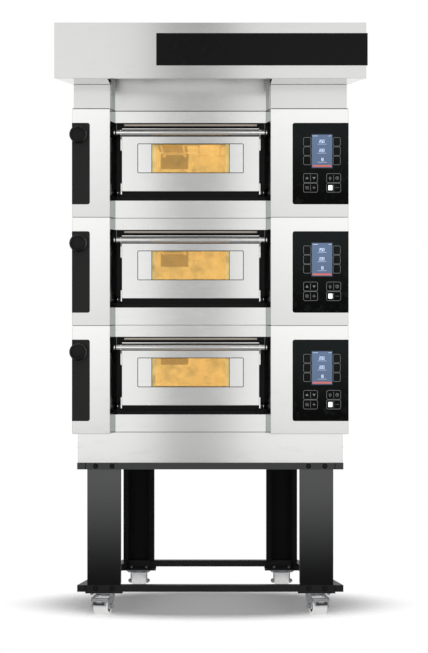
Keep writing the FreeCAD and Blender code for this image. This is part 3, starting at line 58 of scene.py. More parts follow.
SMOOTH_ANGLE = math.radians(35)
TOUCH = 1e-4
HEXAGON = 6
SIDES = (-1, 1)
CORNERS = ("front_left", "front_right", "rear_left", "rear_right")
DECKS = (1, 2, 3)
MIX_AMOUNT, MIX_FIRST, MIX_SECOND, MIX_COLOUR = 0, 6, 7, 2


# ---------------------------------------------------------------- shader expressions
def operator(operation: str, reflected: bool = False) -> Callable[["Socket", "Value"], "Socket"]:
    """A method of Socket that works out one operation.

    Args:
        operation: A Math node's operation.
        reflected: Whether the other value comes first.

    Returns:
        The method.
    """
    def method(this: "Socket", other: "Value") -> "Socket":
        """This value with another, through one node."""
        return this.combine(operation, *((other, this) if reflected else (this, other)))

    return method


class Socket:
    """One output of a node, with arithmetic that adds nodes to its tree."""

    def __init__(self, shader: "Shader", output: bpy.types.NodeSocket) -> None:
        """Keeps the tree that new nodes go in and the output that this value stands for."""
        self.shader, self.output = shader, output

    def combine(self, operation: str, left: "Value", right: "Value") -> "Socket":
        """Adds the node that works out one operation on two values.

        Args:
            operation: A Math node's operation.
            left: The first value.
            right: The second value.

        Returns:
            The result: a vector or a colour if either value is one.
        """
        kinds = {v.output.type for v in (left, right) if isinstance(v, Socket)}
        if "RGBA" in kinds:
            return self.shader.node("ShaderNodeMix", {"data_type": "RGBA", "blend_type": operation},
                                    {MIX_AMOUNT: 1.0, MIX_FIRST: left, MIX_SECOND: right}, output=MIX_COLOUR)
        vectors = "VECTOR" in kinds or isinstance(left, Vector) or isinstance(right, Vector)
        return self.shader.node("ShaderNodeVectorMath" if vectors else "ShaderNodeMath",
                                {"operation": operation}, {0: left, 1: right})

    __add__, __radd__ = operator("ADD"), operator("ADD", reflected=True)
    __sub__, __rsub__ = operator("SUBTRACT"), operator("SUBTRACT", reflected=True)
    __mul__, __rmul__ = operator("MULTIPLY"), operator("MULTIPLY", reflected=True)
    __truediv__, __rtruediv__ = operator("DIVIDE"), operator("DIVIDE", reflected=True)

    def ramp(self, low: float, high: float) -> "Socket":
        """This value taken from low..high to a smooth 0..1.

        Args:
            low: The value that gives 0.
            high: The value that gives 1.

        Returns:
            The eased value.
        """
        return self.shader.node("ShaderNodeMapRange", {"interpolation_type": "SMOOTHSTEP"},
                                {0: self, 1: low, 2: high, 3: 0.0, 4: 1.0})


Value = Union[Socket, float, Vector, Colour]


class Shader:
    """A node tree that is written with expressions."""

    def __init__(self, tree: bpy.types.NodeTree) -> None:
        """Empties a material's or a world's tree and keeps it."""
        self.tree = tree
        tree.nodes.clear()

    def node(self, kind: str, settings: Mapping[str, Any] | None = None,
             inputs: Mapping[int | str, Value] | None = None, output: int | str = 0) -> Socket:
        """Adds one node.

        Args:
            kind: The node's type.
            settings: Its own settings.
            inputs: A value or a link for each named or numbered input.
            output: The output that is wanted.

        Returns:
            That output.
        """
        made = self.tree.nodes.new(kind)
        for name, value in (settings or {}).items():
            setattr(made, name, value)
        for name, value in (inputs or {}).items():
            socket = made.inputs[name]
            if isinstance(value, Socket):
                self.tree.links.new(value.output, socket)
                continue
            if socket.type in ("RGBA", "VECTOR") and isinstance(value, (int, float)):
                value = (value,) * 3
            socket.default_value = (*value, 1.0) if socket.type == "RGBA" else value
        return Socket(self, made.outputs[output])

    def place(self) -> Socket:
        """The point on the surface, in the object's own metres."""
        return self.node("ShaderNodeTexCoord", output="Object")

    def along(self, axis: int) -> Socket:
        """How far the point on the surface is along one axis: 0, 1 or 2 for X, Y or Z."""
        return self.node("ShaderNodeSeparateXYZ", None, {0: self.place()}, output=axis)

    def maths(self, operation: str, value: "Value") -> Socket:
        """One operation on one number."""
        return self.node("ShaderNodeMath", {"operation": operation}, {0: value})

    def noise(self, where: Socket, scale: float, detail: float = 2.0, roughness: float = 0.5) -> Socket:
        """Soft noise from 0 to 1.

        Args:
            where: The point to read it at.
            scale: Bumps in a metre.
            detail: Octaves.
            roughness: How strong each finer octave is.

        Returns:
            The noise.
        """
        return self.node("ShaderNodeTexNoise", None,
                         {"Vector": where, "Scale": scale, "Detail": detail, "Roughness": roughness})

    def cells(self, where: Socket, scale: float) -> Socket:
        """Distance to the nearest of scattered points, with scale points in a metre."""
        return self.node("ShaderNodeTexVoronoi", None, {"Vector": where, "Scale": scale})

    def blend(self, amount: Value, first: Value, second: Value) -> Socket:
        """A mix of two colours.

        Args:
            amount: 0 for the first, 1 for the second.
            first: A colour.
            second: A colour.

        Returns:
            The mixed colour.
        """
        return self.node("ShaderNodeMix", {"data_type": "RGBA"},
                         {MIX_AMOUNT: amount, MIX_FIRST: first, MIX_SECOND: second}, output=MIX_COLOUR)

    def bump(self, height: Socket, distance: float, strength: float = 1.0) -> Socket:
        """A normal bent by a height.

        Args:
            height: The height, from 0 to 1.
            distance: Metres from 0 to 1.
            strength: How much of the bend is kept.

        Returns:
            The normal.
        """
        return self.node("ShaderNodeBump", None,
                         {"Height": height, "Distance": distance, "Strength": strength}, output="Normal")

    def surface(self, **inputs: Value) -> Socket:
        """Adds the Principled shader.

        Args:
            **inputs: Its sockets, with underscores for spaces.

        Returns:
            The shader.
        """
        named = {name.replace("_", " "): value for name, value in inputs.items()}
        return self.node("ShaderNodeBsdfPrincipled", None, named, output="BSDF")

    def finish(self, surface: Socket, kind: str = "ShaderNodeOutputMaterial") -> None:
        """Links the surface to the tree's output."""
        made = self.tree.nodes.new(kind)
        self.tree.links.new(surface.output, made.inputs["Surface"])


# ---------------------------------------------------------------- finishes
class Grain(Enum):
    """Which way a sheet's polishing lines run, as how fast they change along X, Y and Z."""

    ACROSS = Vector((2.0, 2.0, 700.0))
    ROUND = Vector((60.0, 400.0, 400.0))


@dataclass(frozen=True)
class Finish:
    """What a surface is made of. Each kind writes its own nodes."""

    name: str
    slot: str
    tint: Colour = (0.8, 0.8, 0.8)

    def write(self, shader: Shader) -> Socket:
        """The finish's shader.

        Args:
            shader: The tree to write in.

        Returns:
            The finish's shader.
        """
        raise NotImplementedError

    def shade_of(self, factor: float, lift: float = 0.0) -> Colour:
        """The finish's own tint, made darker or paler."""
        return tuple(c * factor + lift for c in self.tint)

    def material(self) -> bpy.types.Material:
        """Makes the finish's material once.

        Returns:
            The material.
        """
        found = bpy.data.materials.get(self.name)
        if found is None:
            found = bpy.data.materials.new(self.name)
            found.use_nodes = True
            shader = Shader(found.node_tree)
            shader.finish(self.write(shader))
        return found


@dataclass(frozen=True)
class BrushedSteel(Finish):
    """Stainless sheet with fine polishing lines and faint clouding."""

    tint: Colour = (0.80, 0.80, 0.785)
    roughness: float = 0.25
    depth: float = 0.00003
    clouding: float = 0.05

    def write(self, shader: Shader) -> Socket:
        """Lines and clouds vary the colour, the roughness and the normal.

        Args:
            shader: The tree to write in.

        Returns:
            The finish's shader.
        """
        place = shader.place()
        lines = shader.noise(place * Grain.ACROSS.value, scale=1.0, detail=3.0, roughness=0.65)
        clouds = shader.noise(place, scale=5.0, detail=3.0)
        wiped = shader.noise(place * Vector((1.0, 1.0, 3.0)), scale=14.0, detail=2.0).ramp(0.52, 0.70)
        tone = 1.0 - self.clouding + lines * (self.clouding * 1.2) + (clouds - 0.5) * self.clouding
        colour = self.shade(shader, shader.blend(1.0 - tone, self.tint, self.shade_of(0.2)))
        rough = self.roughness + (lines - 0.5) * 0.06 + (clouds - 0.5) * 0.04 + wiped * 0.02
        return shader.surface(Base_Color=colour, Metallic=1.0, Roughness=rough,
                              Normal=shader.bump(lines, distance=self.depth, strength=0.6))

    def shade(self, shader: Shader, colour: Socket) -> Socket:
        """Where the sheet's colour changes from place to place; a plain sheet's doesn't.

        Args:
            shader: The tree.
            colour: The plain sheet's colour.

        Returns:
            The colour to use.
        """
        return colour


@dataclass(frozen=True)
class RecessSteel(BrushedSteel):
    """Sheet with painted shade: dark inside the recess, and darker towards each deck's foot."""

    # The dark tone of the painted shade inside the recess; fall sets the painted shade at each deck's foot.
    recess_shade: Colour = (0.13, 0.165, 0.165)
    recess: tuple[float, float] = (0.0, 0.1)
    outside: float = 0.44
    base: float = 0.0
    pitch: float = 0.4
    fall: float = 0.0

    def shade(self, shader: Shader, colour: Socket) -> Socket:
        """Masks the recess by depth and by distance from the middle, then darkens down each deck; both are
        painted shade.

        Args:
            shader: The tree to write in.
            colour: The plain sheet's colour.

        Returns:
            The colour to use.
        """
        depth, across = shader.along(1), shader.maths("ABSOLUTE", shader.along(0))
        start, end = self.recess
        # Painted shade: the sheet inside the recess is blended to the dark tone.
        inside = depth.ramp(start, start + 0.003) * (1.0 - depth.ramp(end - 0.003, end))
        inside = inside * (1.0 - across.ramp(self.outside, self.outside + 0.02))
        # Painted shade: each deck's sheet darkens from its top towards its foot.
        foot = 1.0 - shader.maths("FRACT", (shader.along(2) - self.base) / self.pitch)
        foot_shaded = shader.blend(foot * self.fall, colour, self.shade_of(0.2))
        return shader.blend(inside, foot_shaded, self.recess_shade)


@dataclass(frozen=True)
class TurnedSteel(Finish):
    """Bar or pressed steel with a bright finish and slight scuffs."""

    tint: Colour = (0.78, 0.78, 0.77)
    roughness: float = 0.16
    scuffs: float = 0.12

    def write(self, shader: Shader) -> Socket:
        """Scratches roughen the surface in patches.

        Args:
            shader: The tree to write in.

        Returns:
            The finish's shader.
        """
        place = shader.place()
        marks = shader.noise(place * Grain.ROUND.value, scale=1.0, detail=2.0, roughness=0.7)
        patches = shader.noise(place, scale=30.0, detail=3.0).ramp(0.45, 0.75)
        rough = self.roughness + marks * patches * self.scuffs + (marks - 0.5) * 0.05
        colour = shader.blend(patches * 0.25, self.tint, self.shade_of(0.75))
        return shader.surface(Base_Color=colour, Metallic=1.0, Roughness=rough,
                              Normal=shader.bump(marks, distance=0.00002, strength=0.5))


@dataclass(frozen=True)
class ZincPlate(Finish):
    """Pressed steel with bright zinc and its faint bluish spangle."""

    tint: Colour = (0.62, 0.63, 0.65)
    roughness: float = 0.32

    def write(self, shader: Shader) -> Socket:
        """Cells of slightly different tone.

        Args:
            shader: The tree to write in.

        Returns:
            The finish's shader.
        """
        place = shader.place()
        spangle = shader.cells(place, scale=160.0)
        grime = shader.noise(place, scale=40.0, detail=4.0).ramp(0.55, 0.8)
        colour = shader.blend(spangle * 0.35, self.tint, (0.46, 0.48, 0.52))
        colour = shader.blend(grime * 0.35, colour, (0.24, 0.22, 0.20))
        return shader.surface(Base_Color=colour, Metallic=1.0,
                              Roughness=self.roughness + spangle * 0.15 + grime * 0.2,
                              Normal=shader.bump(spangle, distance=0.0001, strength=0.25))


@dataclass(frozen=True)
class PowderCoat(Finish):
    """Baked paint with a fine orange-peel skin."""

    tint: Colour = (0.016, 0.016, 0.017)
    roughness: float = 0.40
    peel: float = 420.0
    shine: float = 0.25
    # Tone and height span of painted light that makes the coat paler towards its top and its front.
    lit_top_tone: Colour | None = None
    lit_top_span: tuple[float, float] = (0.0, 1.0)

    def write(self, shader: Shader) -> Socket:
        """Small rounded bumps and dust; the coat is paler towards its top and its front, which is painted
        light.

        Args:
            shader: The tree to write in.

        Returns:
            The finish's shader.
        """
        place = shader.place()
        peel = shader.noise(place, scale=self.peel, detail=2.0)
        dust = shader.noise(place, scale=9.0, detail=4.0).ramp(0.40, 0.75)
        colour = shader.blend(dust * 0.3, self.tint, self.shade_of(1.5, 0.006))
        # Painted light: paler towards the top, and only at the front, so the rear stays dark as painted
        # shade.
        if self.lit_top_tone is not None:
            front = 1.0 - shader.along(1).ramp(-0.1, 0.1)
            colour = shader.blend(shader.along(2).ramp(*self.lit_top_span) * front, colour, self.lit_top_tone)
        return shader.surface(Base_Color=colour, Roughness=self.roughness + (peel - 0.5) * 0.12 + dust * 0.06,
                              Normal=shader.bump(peel, distance=0.00025, strength=0.35),
                              Specular_IOR_Level=self.shine)


@dataclass(frozen=True)
class Moulding(Finish):
    """Moulded plastic or rubber with a fine spark-eroded texture."""

    tint: Colour = (0.02, 0.02, 0.02)
    roughness: float = 0.38
    texture: float = 900.0
    depth: float = 0.00012
    shine: float = 0.4

    def write(self, shader: Shader) -> Socket:
        """A fine pebble, with slightly polished patches where it is handled.

        Args:
            shader: The tree to write in.

        Returns:
            The finish's shader.
        """
        place = shader.place()
        pebble = shader.noise(place, scale=self.texture, detail=2.0, roughness=0.6)
        handled = shader.noise(place, scale=25.0, detail=2.0).ramp(0.45, 0.7)
        colour = shader.blend(pebble * 0.4, self.tint, self.shade_of(1.5, 0.006))
        return shader.surface(Base_Color=colour, Roughness=self.roughness + pebble * 0.08 - handled * 0.07,
                              Normal=shader.bump(pebble, distance=self.depth, strength=0.35),
                              Specular_IOR_Level=self.shine)


@dataclass(frozen=True)
class Overlay(Finish):
    """A printed polyester overlay: dark, smooth and glossy."""

    tint: Colour = (0.006, 0.007, 0.007)
    roughness: float = 0.17
    shine: float = 0.10
    # The paler tone of the painted reflection at each panel's top.
    upper: Colour = (0.006, 0.007, 0.007)
    base: float = 0.0
    pitch: float = 10.0

    def write(self, shader: Shader) -> Socket:
        """Finger marks change the gloss and the sheet is slightly wavy; each panel is paler at its top, which
        is a painted reflection.

        Args:
            shader: The tree to write in.

        Returns:
            The finish's shader.
        """
        place = shader.place()
        marks = shader.noise(place, scale=45.0, detail=4.0).ramp(0.5, 0.72)
        wave = shader.noise(place, scale=6.0, detail=1.0)
        # Painted reflection: each panel's colour goes from tint at its foot to upper at its top.
        rise = shader.maths("FRACT", (shader.along(2) - self.base) / self.pitch)
        colour = shader.blend(rise.ramp(0.1, 0.9), self.tint, self.upper)
        colour = shader.blend(marks * 0.4, colour, tuple(c + 0.006 for c in self.upper))
        return shader.surface(Base_Color=colour, Roughness=self.roughness + marks * 0.12,
                              Normal=shader.bump(wave, distance=0.002, strength=0.25),
                              Specular_IOR_Level=self.shine)


@dataclass(frozen=True)
class Ink(Finish):
    """A flat printed or lit mark, with a faint grain."""

    tint: Colour = (0.75, 0.75, 0.75)
    glow: float = 0.0

    def write(self, shader: Shader) -> Socket:
        """A mark that shines by its own tint when it is lit from behind.

        Args:
            shader: The tree to write in.

        Returns:
            The finish's shader.
        """
        grain = shader.noise(shader.place(), scale=1500.0, detail=1.0)
        colour = shader.blend(grain * 0.25, self.tint, self.shade_of(0.75))
        return shader.surface(Base_Color=colour, Roughness=0.4, Emission_Color=colour,
                              Emission_Strength=self.glow)


@dataclass(frozen=True)
class LitScreen(Finish):
    """A backlit display: slate blue, lighter to the top, with a fine pixel grid."""

    tint: Colour = (0.085, 0.145, 0.26)
    glow: float = 0.42
    top: float = 1.0
    bottom: float = 0.0

    def write(self, shader: Shader) -> Socket:
        """The picture's tone falls from its top to its bottom.

        Args:
            shader: The tree to write in.

        Returns:
            The finish's shader.
        """
        rise = shader.along(2).ramp(self.bottom, self.top)
        dots = shader.cells(shader.place(), scale=2600.0)
        colour = shader.blend(rise * 0.3, self.tint, self.shade_of(1.6))
        colour = shader.blend(dots * 0.2, colour, self.shade_of(0.5))
        return shader.surface(Base_Color=colour, Roughness=0.22, Emission_Color=colour,
                              Emission_Strength=self.glow, Coat_Weight=0.3, Coat_Roughness=0.08)


@dataclass(frozen=True)
class WarmGlass(Finish):
    """Heat-proof glass with a baked-on amber tint."""

    tint: Colour = (0.84, 0.68, 0.26)
    clear: float = 0.80

    def write(self, shader: Shader) -> Socket:
        """Baked film makes it a little less clear at random.

        Args:
            shader: The tree to write in.

        Returns:
            The finish's shader.
        """
        place = shader.place()
        film = shader.noise(place, scale=22.0, detail=4.0).ramp(0.35, 0.8)
        streaks = shader.noise(place * Vector((6.0, 6.0, 90.0)), scale=1.0, detail=3.0)
        return shader.surface(Base_Color=shader.blend(film, self.tint, self.shade_of(0.8)),
                              Roughness=0.05 + film * 0.06 + streaks * 0.03,
                              Alpha=1.0 - self.clear + film * 0.12)


@dataclass(frozen=True)
class HotSteel(Finish):
    """Chamber steel: straw-tinted by heat and sooty in places; it glows by itself, painted light in place of
    the lamp's light inside.
    """

    tint: Colour = (0.66, 0.50, 0.28)
    glow: float = 0.35
    roughness: float = 0.36

    def write(self, shader: Shader) -> Socket:
        """Heat tint and soot vary over the walls; the steel's glow is painted light.

        Args:
            shader: The tree to write in.

        Returns:
            The finish's shader.
        """
        place = shader.place()
        heat = shader.noise(place, scale=7.0, detail=3.0)
        soot = shader.noise(place, scale=26.0, detail=5.0).ramp(0.50, 0.78)
        lines = shader.noise(place * Grain.ACROSS.value, scale=1.0, detail=2.0)
        colour = shader.blend(heat, self.tint, tuple(c * s for c, s in zip(self.tint, (0.85, 0.72, 0.6))))
        colour = shader.blend(soot * 0.55, colour, (0.10, 0.065, 0.035))
        # Painted light: the steel glows by its own colour, though it is no lamp.
        return shader.surface(Base_Color=colour, Metallic=0.55, Roughness=self.roughness + soot * 0.3,
                              Normal=shader.bump(lines, distance=0.00003, strength=0.5),
                              Emission_Color=colour, Emission_Strength=self.glow)


@dataclass(frozen=True)
class BakingStone(Finish):
    """Refractory slab, pale with toasted marks and open pores; its glow is painted light."""

    tint: Colour = (0.62, 0.40, 0.18)
    glow: float = 0.30

    def write(self, shader: Shader) -> Socket:
        """Toasted rings, scattered pores and flour dust.

        Args:
            shader: The tree to write in.

        Returns:
            The finish's shader.
        """
        place = shader.place()
        toast = shader.noise(place, scale=11.0, detail=4.0, roughness=0.6).ramp(0.42, 0.68)
        pores = shader.cells(place, scale=260.0).ramp(0.0, 0.28)
        flour = shader.noise(place, scale=60.0, detail=5.0, roughness=0.7).ramp(0.60, 0.75)
        colour = shader.blend(toast * 0.6, self.tint, (0.26, 0.13, 0.05))
        colour = shader.blend(flour * 0.5, colour, (0.82, 0.70, 0.48))
        # Painted light: the stone glows by its own colour.
        return shader.surface(Base_Color=colour, Roughness=0.85 - toast * 0.12,
                              Normal=shader.bump(pores, distance=0.0006, strength=0.7), Emission_Color=colour,
                              Emission_Strength=self.glow)


@dataclass(frozen=True)
class GlowingCover(Finish):
    """A lamp's ribbed cover, lit from inside."""

    tint: Colour = (0.55, 0.42, 0.17)
    glow: float = 0.7

    def write(self, shader: Shader) -> Socket:
        """Ribs make bright and less bright lines.

        Args:
            shader: The tree to write in.

        Returns:
            The finish's shader.
        """
        ribs = shader.node("ShaderNodeTexWave", None, {"Vector": shader.place(), "Scale": 60.0})
        colour = shader.blend(ribs * 0.35, self.tint, self.shade_of(0.7))
        return shader.surface(Base_Color=colour, Roughness=0.25, Emission_Color=colour,
                              Emission_Strength=self.glow)


@dataclass(frozen=True)
class WovenRope(Finish):
    """Braided glass-fibre seal or mineral wool."""

    tint: Colour = (0.34, 0.32, 0.28)
    strands: float = 420.0

    def write(self, shader: Shader) -> Socket:
        """Crossing strands.

        Args:
            shader: The tree to write in.

        Returns:
            The finish's shader.
        """
        place = shader.place()
        weave = shader.cells(place * Vector((1.0, 1.0, 0.6)), scale=self.strands)
        lint = shader.noise(place, scale=self.strands * 3.0, detail=3.0)
        colour = shader.blend(weave, self.tint, self.shade_of(0.45))
        return shader.surface(Base_Color=colour, Roughness=0.88 + (lint - 0.5) * 0.1,
                              Normal=shader.bump(weave * 0.7 + lint * 0.3, distance=0.0008, strength=0.8),
                              Sheen_Weight=0.2)


@dataclass(frozen=True)
class CastNylon(Finish):
    """A caster's wheel: off-white, scuffed along its tread."""

    tint: Colour = (0.95, 0.95, 0.94)
    glow: float = 0.30

    def write(self, shader: Shader) -> Socket:
        """Grey scuffs and floor dirt over slightly translucent nylon, which glows a little as painted light.

        Args:
            shader: The tree to write in.

        Returns:
            The finish's shader.
        """
        place = shader.place()
        scuffs = shader.noise(place, scale=120.0, detail=4.0, roughness=0.7).ramp(0.50, 0.75)
        dirt = shader.noise(place, scale=35.0, detail=3.0).ramp(0.48, 0.8)
        colour = shader.blend(scuffs * 0.2 + dirt * 0.15, self.tint, (0.34, 0.33, 0.31))
        # Painted light: the wheel glows by its own colour, though it is no lamp.
        return shader.surface(Base_Color=colour, Roughness=0.42 + scuffs * 0.2,
                              Emission_Color=colour, Emission_Strength=self.glow,
                              Normal=shader.bump(scuffs, distance=0.0002, strength=0.4),
                              Subsurface_Weight=0.05)


@dataclass(frozen=True)
class PaleFloor(Finish):
    """The studio floor: near white, fading out at its edge."""

    tint: Colour = (0.93, 0.93, 0.93)
    reach: tuple[float, float] = (0.82, 0.48)
    inner: float = 0.55

    def write(self, shader: Shader) -> Socket:
        """A faint mottle; it is clear beyond an oval.

        Args:
            shader: The tree to write in.

        Returns:
            The finish's shader.
        """
        place = shader.place()
        mottle = shader.noise(place, scale=3.0, detail=3.0)
        oval = place * Vector((1.0 / self.reach[0], 1.0 / self.reach[1], 0.0))
        radius = shader.node("ShaderNodeVectorMath", {"operation": "LENGTH"}, {0: oval}, output="Value")
        colour = shader.blend(mottle * 0.04, self.tint, (0.85, 0.85, 0.85))
        return shader.surface(Base_Color=colour, Roughness=0.65, Alpha=1.0 - radius.ramp(self.inner, 1.0),
                              Specular_IOR_Level=0.2)


SHEET = BrushedSteel("brushed_sheet", "steel", clouding=0.03)
FRONT_SHEET = BrushedSteel("front_sheet", "steel", tint=(0.79, 0.79, 0.78), roughness=0.17, clouding=0.03)
HOOD_SHEET = BrushedSteel("hood_sheet", "steel", tint=(0.67, 0.67, 0.66), roughness=0.17, clouding=0.03)
DOOR_SHEET = BrushedSteel("door_sheet", "steel", tint=(0.77, 0.77, 0.76), roughness=0.14, clouding=0.03)
# Black finish for the mouth frames and hinge brackets, made black because they sit in shade: painted shade.
SHADED_ENAMEL = PowderCoat("shaded_black_enamel", "dark_enamel", tint=(0.005, 0.005, 0.005), roughness=0.30, peel=160.0,
                    shine=0.15)
# The lamp channel's steel glows a little: painted light.
LAMP_SHEET = HotSteel("lamp_channel_steel", "chamber_steel", tint=(0.36, 0.25, 0.08), glow=0.36,
                      roughness=0.5)
CASSETTE = BrushedSteel("door_cassette_sheet", "door_cassette", tint=(0.84, 0.84, 0.83), roughness=0.17,
                        clouding=0.03)
BRIGHT_BAR = TurnedSteel("polished_bar", "handle_steel", tint=(0.86, 0.86, 0.85), roughness=0.12)
SCREW_STEEL = TurnedSteel("screw_steel", "steel", roughness=0.22)
ZINC = ZincPlate("bright_zinc", "zinc")
# The stand's frames are paler towards their top and front: painted light.
STAND_PAINT = PowderCoat("charcoal_powder_coat", "stand_paint", lit_top_tone=(0.075, 0.078, 0.076), lit_top_span=(0.2, 0.5))
SEAM_BEAD = PowderCoat("painted_weld", "stand_paint", tint=(0.008, 0.008, 0.008), peel=180.0, shine=0.1)
# The vent panels' overlay is a little paler higher up: a painted reflection.
PANEL = Overlay("black_overlay", "black_panel", tint=(0.026, 0.028, 0.026), upper=(0.030, 0.032, 0.030))
BAND = Overlay("hood_band_gloss", "black_panel", tint=(0.008, 0.008, 0.009), roughness=0.24)
KNOB = Moulding("knob_plastic", "black_plastic", tint=(0.006, 0.006, 0.006), roughness=0.36, shine=0.18)
FAN_PLASTIC = Moulding("fan_plastic", "black_plastic", tint=(0.025, 0.025, 0.026), roughness=0.5)
BOARD = Moulding("circuit_board", "electric_plastic", tint=(0.03, 0.10, 0.05), roughness=0.45, texture=500.0)
SEAL = Moulding("silicone_seal", "black_plastic", tint=(0.012, 0.012, 0.012), roughness=0.6)
GRIP = Moulding("pedal_grip", "black_plastic", tint=(0.03, 0.03, 0.03), roughness=0.7, texture=500.0)
# The nylon wheels glow a little: painted light.
NYLON = CastNylon("cast_nylon", "wheel_nylon")
GLASS = WarmGlass("amber_oven_glass", "door_glass")
# The element sheaths and the chamber walls glow: painted light.
ELEMENT_SHEATH = HotSteel("element_sheath", "element", tint=(0.66, 0.50, 0.20), glow=0.75, roughness=0.45)
CHAMBER = HotSteel("heat_tinted_steel", "chamber_steel", tint=(0.78, 0.65, 0.27), glow=0.80)
SHIELD = BrushedSteel("fumed_shield", "chamber_steel", tint=(0.36, 0.32, 0.28), roughness=0.30)
DUCT_STEEL = BrushedSteel("duct_steel", "chamber_steel", tint=(0.6, 0.58, 0.54), roughness=0.35)
# The baking stones glow: painted light.
STONE = BakingStone("toasted_stone", "stone", tint=(0.80, 0.50, 0.12), glow=0.75)
LAMP = GlowingCover("lamp_cover", "lamp")
WOOL = WovenRope("mineral_wool", "wool", tint=(0.62, 0.52, 0.30), strands=240.0)
ROPE = WovenRope("fibre_rope", "wool")
PRINT = Ink("pale_print", "black_panel", tint=(0.42, 0.42, 0.42))
BEZEL = Ink("bezel_print", "black_panel", tint=(0.02, 0.02, 0.021))
LIT_WHITE = Ink("lit_white", "black_panel", tint=(0.95, 0.97, 1.0), glow=0.9)
LIT_FIGURES = Ink("lit_figures", "black_panel", tint=(0.70, 0.80, 0.92), glow=0.5)
LIT_RED = Ink("lit_red", "black_panel", tint=(0.60, 0.13, 0.11), glow=0.6)
PLATE = BrushedSteel("rating_plate", "steel", tint=(0.7, 0.7, 0.7), roughness=0.4)


# ---------------------------------------------------------------- mesh building
@dataclass(frozen=True)
class Span:
    """An axis-aligned box: a CAD node's, or a part of one."""

    lo: Vector
    hi: Vector

    @classmethod
    def of(cls, node: str) -> "Span":
        """The box of a CAD node."""
        return cls(*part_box(node))

    @property
    def mid(self) -> Vector:
        """Its centre."""
        return (self.lo + self.hi) / 2

    @property
    def size(self) -> Vector:
        """Its width, depth and height."""
        return self.hi - self.lo


def circle(centre: Vector, radius: float, count: int, up: Vector = Z_AXIS) -> list[Vector]:
    """Evenly spaced points round a circle in the plane of +X and the up direction."""
    turns = (math.tau * i / count for i in range(count))
    return [centre + (X_AXIS * math.cos(a) + up * math.sin(a)) * radius for a in turns]


def steps_between(low: float, high: float, count: int) -> list[float]:
    """Evenly spaced values from low to high."""
    return [low + (high - low) * i / (count - 1) for i in range(count)]


def rounded(x0: float, x1: float, z0: float, z1: float, radius: float, steps: int = 4) -> Outline:
    """A rectangle with rounded corners.

    Args:
        x0: Left.
        x1: Right.
        z0: Bottom.
        z1: Top.
        radius: Corner radius.
        steps: Segments in each corner.

    Returns:
        The outline, anticlockwise from the lower right corner.
    """
    corners = [(x1 - radius, z0 + radius, -90), (x1 - radius, z1 - radius, 0),
               (x0 + radius, z1 - radius, 90), (x0 + radius, z0 + radius, 180)]
    points = []
    for x, z, start in corners:
        for i in range(steps + 1):
            angle = math.radians(start + 90 * i / steps)
            points.append((x + radius * math.cos(angle), z + radius * math.sin(angle)))
    return points


